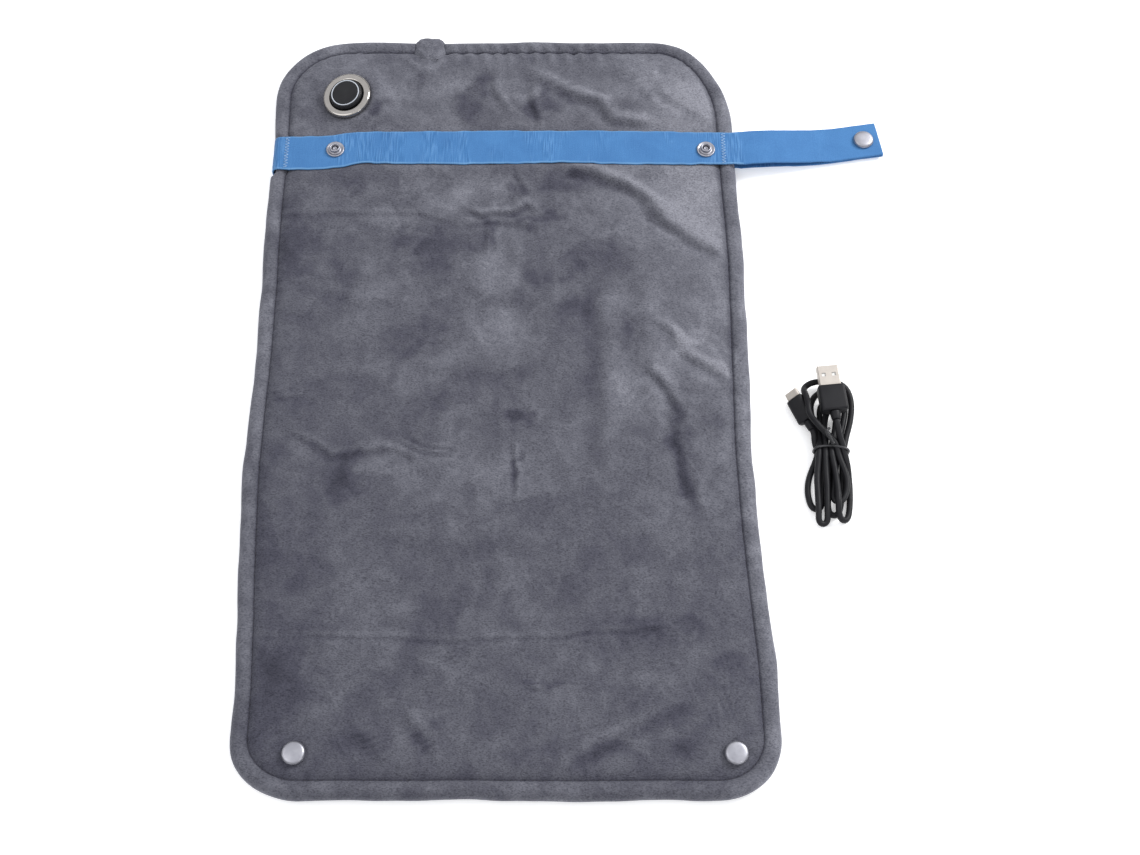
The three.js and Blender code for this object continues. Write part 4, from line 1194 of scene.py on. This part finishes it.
# the cord's route: across the hank, along it towards the plugs, and height
ROUTE = [
    # small plug to the waist
    (-10.7, 13.4, 5.9), (-9.3, 10.7, 5.6), (-8.0, 6.5, 4.6), (-7.0, 0.0, 3.35),
    # outer left lobe, low
    (-9.3, -7, 2.0), (-12, -14, 1.8), (-13, -21.5, 1.8), (-11.6, -29, 1.8), (-8.2, -33.2, 1.8),
    (-5, -30.5, 1.8), (-4.4, -22, 1.8), (-3.9, -9, 2.2), (-3.5, 0, 3.35),
    # small loop hidden under the large plug
    (-3.4, 8, 2.2), (-4.2, 16, 1.8), (-6, 24, 1.8), (-4.8, 31.5, 1.8), (0, 34.8, 1.8), (4, 31, 1.8),
    (4.4, 22, 1.8), (2, 11, 2.2), (0, 0, 3.35),
    # middle lobe, low
    (-0.6, -10, 2.0), (-1.3, -22, 1.8), (-2, -30.5, 1.8), (1.4, -36.4, 1.8), (5.2, -30.5, 1.8),
    (6.6, -16, 1.8), (7.0, -6, 2.4), (7, 0, 3.35),
    # wide outer loop, over the shoulder of the small plug
    (8.4, 9, 3.0), (11.2, 20, 3.2), (12.2, 32, 3.8), (9.3, 41.5, 4.6), (3, 44.6, 5.3), (-4, 44.4, 5.8),
    (-10.6, 43.2, 6.0), (-15.2, 39.6, 6.6), (-16.7, 34, 8.0), (-15.3, 27, 10.6), (-12.8, 21, 11.5),
    (-9.2, 15.8, 10.8), (-3.8, 10.2, 9.6), (0.9, 6.2, 9.0), (3.5, 0, 6.85),
    # inner right lobe
    (6.4, -7.5, 5.9), (8.8, -15, 5.4), (8.6, -21.5, 5.3), (6.3, -27, 5.3), (3.1, -29.6, 5.3),
    (0.8, -26.5, 4.6), (0.9, -20, 3.2), (2.3, -10, 2.4), (3.5, 0, 3.35),
    # inner upper loop
    (4.6, 7, 2.6), (6, 14, 2.4), (7.8, 22, 2.2), (8.9, 30, 1.8), (6, 37.5, 1.8), (-1, 40.4, 1.8),
    (-8, 37.5, 1.8), (-11, 30, 1.8), (-9.8, 21.5, 1.8), (-7.1, 14, 2.6), (-6.5, 7, 4.8), (-7, 0, 6.85),
    # left lobe, on top
    (-7.6, -8, 5.9), (-8.1, -16, 5.5), (-7.6, -26, 5.4), (-7.2, -34.5, 5.4), (-6.6, -39.5, 3.6),
    (-4.6, -42, 2.4), (-2.4, -38.5, 3.2), (-2.3, -31, 5.2), (-2.5, -20, 5.5), (-3.2, -9, 5.8),
    (-3.5, 0, 6.85),
    # short upper loop
    (-4, 9, 5.6), (-3.6, 18, 5.4), (-1.6, 25.6, 5.3), (1.4, 27, 5.3), (3, 21, 5.3), (1.8, 11, 5.6),
    (0, 0, 6.85),
    # right lobe, on top
    (1.6, -8, 6.2), (2.6, -16, 7.0), (3.1, -25, 8.5), (3.3, -31, 8.6), (4.0, -36, 5.4), (6.8, -39.3, 3.0),
    (9.7, -35, 1.9), (10.6, -27, 1.8), (10.6, -17, 1.8), (9.2, -8, 3.6), (7, 0, 6.85),
    # up to the large plug
    (5.2, 4.4, 8.6), (3.4, 9, 11.6), (2.3, 13.2, 14.1), (1.8, 16.2, 14.6),
]


def from_hank(points):
    """Hank coordinates to the row frame."""
    points = np.array(points, float)
    points[:, 1] *= np.where(points[:, 1] < 0, LOBE_STRETCH, 1)
    turn = np.array(Matrix.Rotation(HANK_TILT, 3, "Z"))
    return points @ turn.T + TIE_AT


def plug_frame(plug):
    """Turn matrix and origin of a plug whose length runs along its own +Y."""
    turn = Matrix.Rotation(math.radians(plug["turn"]), 3, "Z")
    turn = turn @ Matrix.Rotation(math.radians(plug["roll"]), 3, "Y")
    return np.array(turn), np.array(plug["at"], float)


def clear_of_plug(path, plug, parts, radius):
    """Moves route points out of a plug's solid parts."""
    turn, origin = plug_frame(plug)
    local = (path - origin) @ turn
    for (half_x, half_z), (start, end) in parts[1:]:
        middle = np.array([0, (start + end) / 2, 0])
        half = np.array([half_x, (end - start) / 2, half_z])
        off = local - middle
        past = np.abs(off) - half
        outside = np.maximum(past, 0)
        gap = np.linalg.norm(outside, axis=1)
        near = (gap > 1e-6) & (gap < radius)
        push = outside / np.maximum(gap, 1e-6)[:, None] * np.sign(off) * (radius - gap)[:, None]
        local = local + np.where(near[:, None], push, 0)
        buried = past.max(axis=1) < 0
        deepest = past.argmax(axis=1)
        for axis in range(3):
            chosen = buried & (deepest == axis)
            local[chosen, axis] += np.sign(off[chosen, axis]) * (radius - past[chosen, axis])
    return local @ turn.T + origin


def rested(path, width, rounds=150):
    """The route with its strands pushed apart, off the floor and out of the plugs."""
    step = 1.15
    goal = even(path, step)
    route = goal.copy()
    count = len(route)
    index = np.arange(count)
    apart = np.abs(index[:, None] - index[None]) > int(2.2 * width / step)
    from_end = np.minimum(index, count - 1 - index) * step
    hold = 0.05 + 0.95 * np.exp(-(from_end / 3.0) ** 2)[:, None]
    for _ in range(rounds):
        route = route + hold * (goal - route)
        for _ in range(PUSHES):
            gap = route[:, None] - route[None]
            distance = np.sqrt((gap ** 2).sum(axis=2)) + 1e-6
            close = apart & (distance < width)
            push = np.where(close, 0.42 * (width - distance) / distance, 0)
            weight = np.maximum(close.sum(axis=1), 1) ** 0.5
            route = route + (gap * push[:, :, None]).sum(axis=1) / weight[:, None]
            route[:, 2] = np.maximum(route[:, 2], width / 2 + 0.03)
        route = clear_of_plug(route, LARGE_PLUG, LARGE_PARTS, width / 2)
        route = clear_of_plug(route, SMALL_PLUG, SMALL_PARTS, width / 2)
        route[1:-1] += 0.16 * ((route[:-2] + route[2:]) / 2 - route[1:-1])
        chord = route[BEND_REACH:] - route[:-BEND_REACH]
        length = np.linalg.norm(chord, axis=1)[:, None]
        spread = 0.25 * np.maximum(BEND_CHORD - length, 0) * chord / length
        route[BEND_REACH:] += spread
        route[:-BEND_REACH] -= spread
    for _ in range(SMOOTHINGS):
        bend = (route[:-4] + route[4:]) / 6 + (route[1:-3] + route[3:-1]) / 3 - route[2:-2]
        route[2:-2] += 0.6 * bend * (1 - hold[2:-2])
    return even(route, 1.0)


def make_cable():
    path = rested(from_hank(through(ROUTE, 1.0)), CORD_WIDTH)
    points, faces = sweep(path, CORD_WIDTH / 2, 16)
    cord = piece("supply_cord", points, faces, "cord_rubber", "usb_cable", replaces=("cable_hank",))
    with_it = [refine(f"{plug}_strain_relief", 0.25) for plug in ("device_plug", "usb_a")]
    with_it += [refine("device_plug_overmold", 0.5, 4), refine("usb_a_overmold", 0.6, 4)]
    with_it += [refine(f"{plug}_shell", 0.12, 2, smooth=False) for plug in ("device_plug", "usb_a")]
    with_it += [make_tongue(), make_tie()]


def make_tongue():
    """White insulator inside the large plug, with the ledge that shows through the two windows."""
    turn, origin = plug_frame(LARGE_PLUG)
    parts = []
    for (x0, x1), (y0, y1), (z0, z1) in (
        ((-5.2, 5.2), (22.0, 32.6), (-1.6, 0.1)), ((-5.0, 5.0), (25.6, 29.8), (0.1, 1.55)),
    ):
        corners = [(x, y, z) for x in (x0, x1) for y in (y0, y1) for z in (z0, z1)]
        box_faces = [(0, 1, 3, 2), (4, 6, 7, 5), (0, 4, 5, 1), (2, 3, 7, 6), (0, 2, 6, 4), (1, 5, 7, 3)]
        parts.append((np.array(corners) @ turn.T + origin, box_faces))
    points, faces = joined(parts)
    return piece(
        "usb_a_insulator", points, faces, "white_plastic", "usb_cable", replaces=("usb_a_tongue",),
        smooth=False,
    )


def make_tie():
    """Wire tie round the waist, with its ends twisted together on top."""
    half_width, low, high = 9.75, 0.75, 9.3
    corner = 3.0
    loop = []
    for cx, cz, start in (
        (half_width - corner, high - corner, 0), (corner - half_width, high - corner, 1),
        (corner - half_width, low + corner, 2), (half_width - corner, low + corner, 3),
    ):
        for angle in np.linspace(start, start + 1, 7) * math.pi / 2:
            loop.append((cx + corner * math.cos(angle), cz + corner * math.sin(angle)))
    loop = even(np.array(loop + loop[:1]), 0.5)
    arch = 1.6 * np.clip(1 - (loop[:, 0] / half_width) ** 2, 0, 1) * smoothstep(3, 9, loop[:, 1])
    ring = from_hank(np.column_stack([loop[:, 0], arch + 0.7, loop[:, 1]]))
    parts = [sweep(ring, 0.72, 10)]
    ends = [(0.7, 2.7, 10.4), (-1.0, 5.0, 12.0), (-2.6, 7.4, 12.9), (-3.6, 9.6, 13.1), (-2.4, 10.9, 13.4)]
    spine = from_hank(through(ends, 0.3))
    turns = np.linspace(0, 5.5 * math.tau, len(spine))
    for phase in (0, math.pi):
        flat = np.cos(turns + phase) * 0.7
        side = np.column_stack([flat, flat, np.sin(turns + phase)])
        parts.append(sweep(spine + 0.75 * side, 0.7, 8))
    points, faces = joined(parts)
    return piece("twist_tie_wire", points, faces, "tie_plastic", "usb_cable", replaces=("twist_tie",))


# ------------------------------------------------------------------ floor and light
FLOOR_HALF = 40.0  # metres, which puts the floor's edge close to the horizon in low views
WORLD_STRENGTH = 0.92
# how far up the sky, from 0 at the horizon to 1 overhead, and the colour there
WORLD_STOPS = [(0.22, (0.10, 0.10, 0.105, 1)), (0.52, (0.96, 0.97, 1.0, 1))]
# name, place and width in metres, power in watts; all of them point at the origin
LIGHTS = [
    ("key", (1.3, 0.75, 1.15), 0.7, 26),
    ("fill", (-1.2, -0.4, 1.5), 1.6, 7),
    ("kicker", (0.55, -0.75, 0.55), 0.25, 0.7),
]


def make_stage():
    mesh = bpy.data.meshes.new("floor")
    corners = [(x * FLOOR_HALF, y * FLOOR_HALF, 0) for x, y in ((-1, -1), (1, -1), (1, 1), (-1, 1))]
    mesh.from_pydata(corners, [], [(0, 1, 2, 3)])
    floor = bpy.data.objects.new("floor", mesh)
    bpy.context.collection.objects.link(floor)
    mesh.materials.append(floor_material())


def area_light(name, place, size, power):
    data = bpy.data.lights.new(name, "AREA")
    data.shape = "DISK"
    data.size = size
    data.energy = power
    lamp = bpy.data.objects.new(name, data)
    lamp.location = place
    lamp.rotation_euler = (-Vector(place)).to_track_quat("-Z", "Y").to_euler()
    bpy.context.collection.objects.link(lamp)


def make_lights():
    for name, place, size, power in LIGHTS:
        area_light(name, place, size, power)
    world = bpy.data.worlds.new("studio")
    bpy.context.scene.world = world
    world.use_nodes = True
    tree = world.node_tree
    place = tree.nodes.new("ShaderNodeTexCoord")
    parts = tree.nodes.new("ShaderNodeSeparateXYZ")
    ramp = tree.nodes.new("ShaderNodeValToRGB")
    for element, (position, color) in zip(ramp.color_ramp.elements, WORLD_STOPS):
        element.position = position
        element.color = color
    tree.links.new(place.outputs["Generated"], parts.inputs["Vector"])
    tree.links.new(parts.outputs["Z"], ramp.inputs["Fac"])
    tree.links.new(ramp.outputs["Color"], tree.nodes["Background"].inputs["Color"])
    tree.nodes["Background"].inputs["Strength"].default_value = WORLD_STRENGTH
    bpy.context.scene.view_settings.view_transform = "Standard"


make_stage()
make_lights()
paint_nodes()
make_cable()
make_pad()
make_belt()
make_belt_seams()
make_studs()
make_snaps()
make_controller()
make_sleeve()
make_refined()
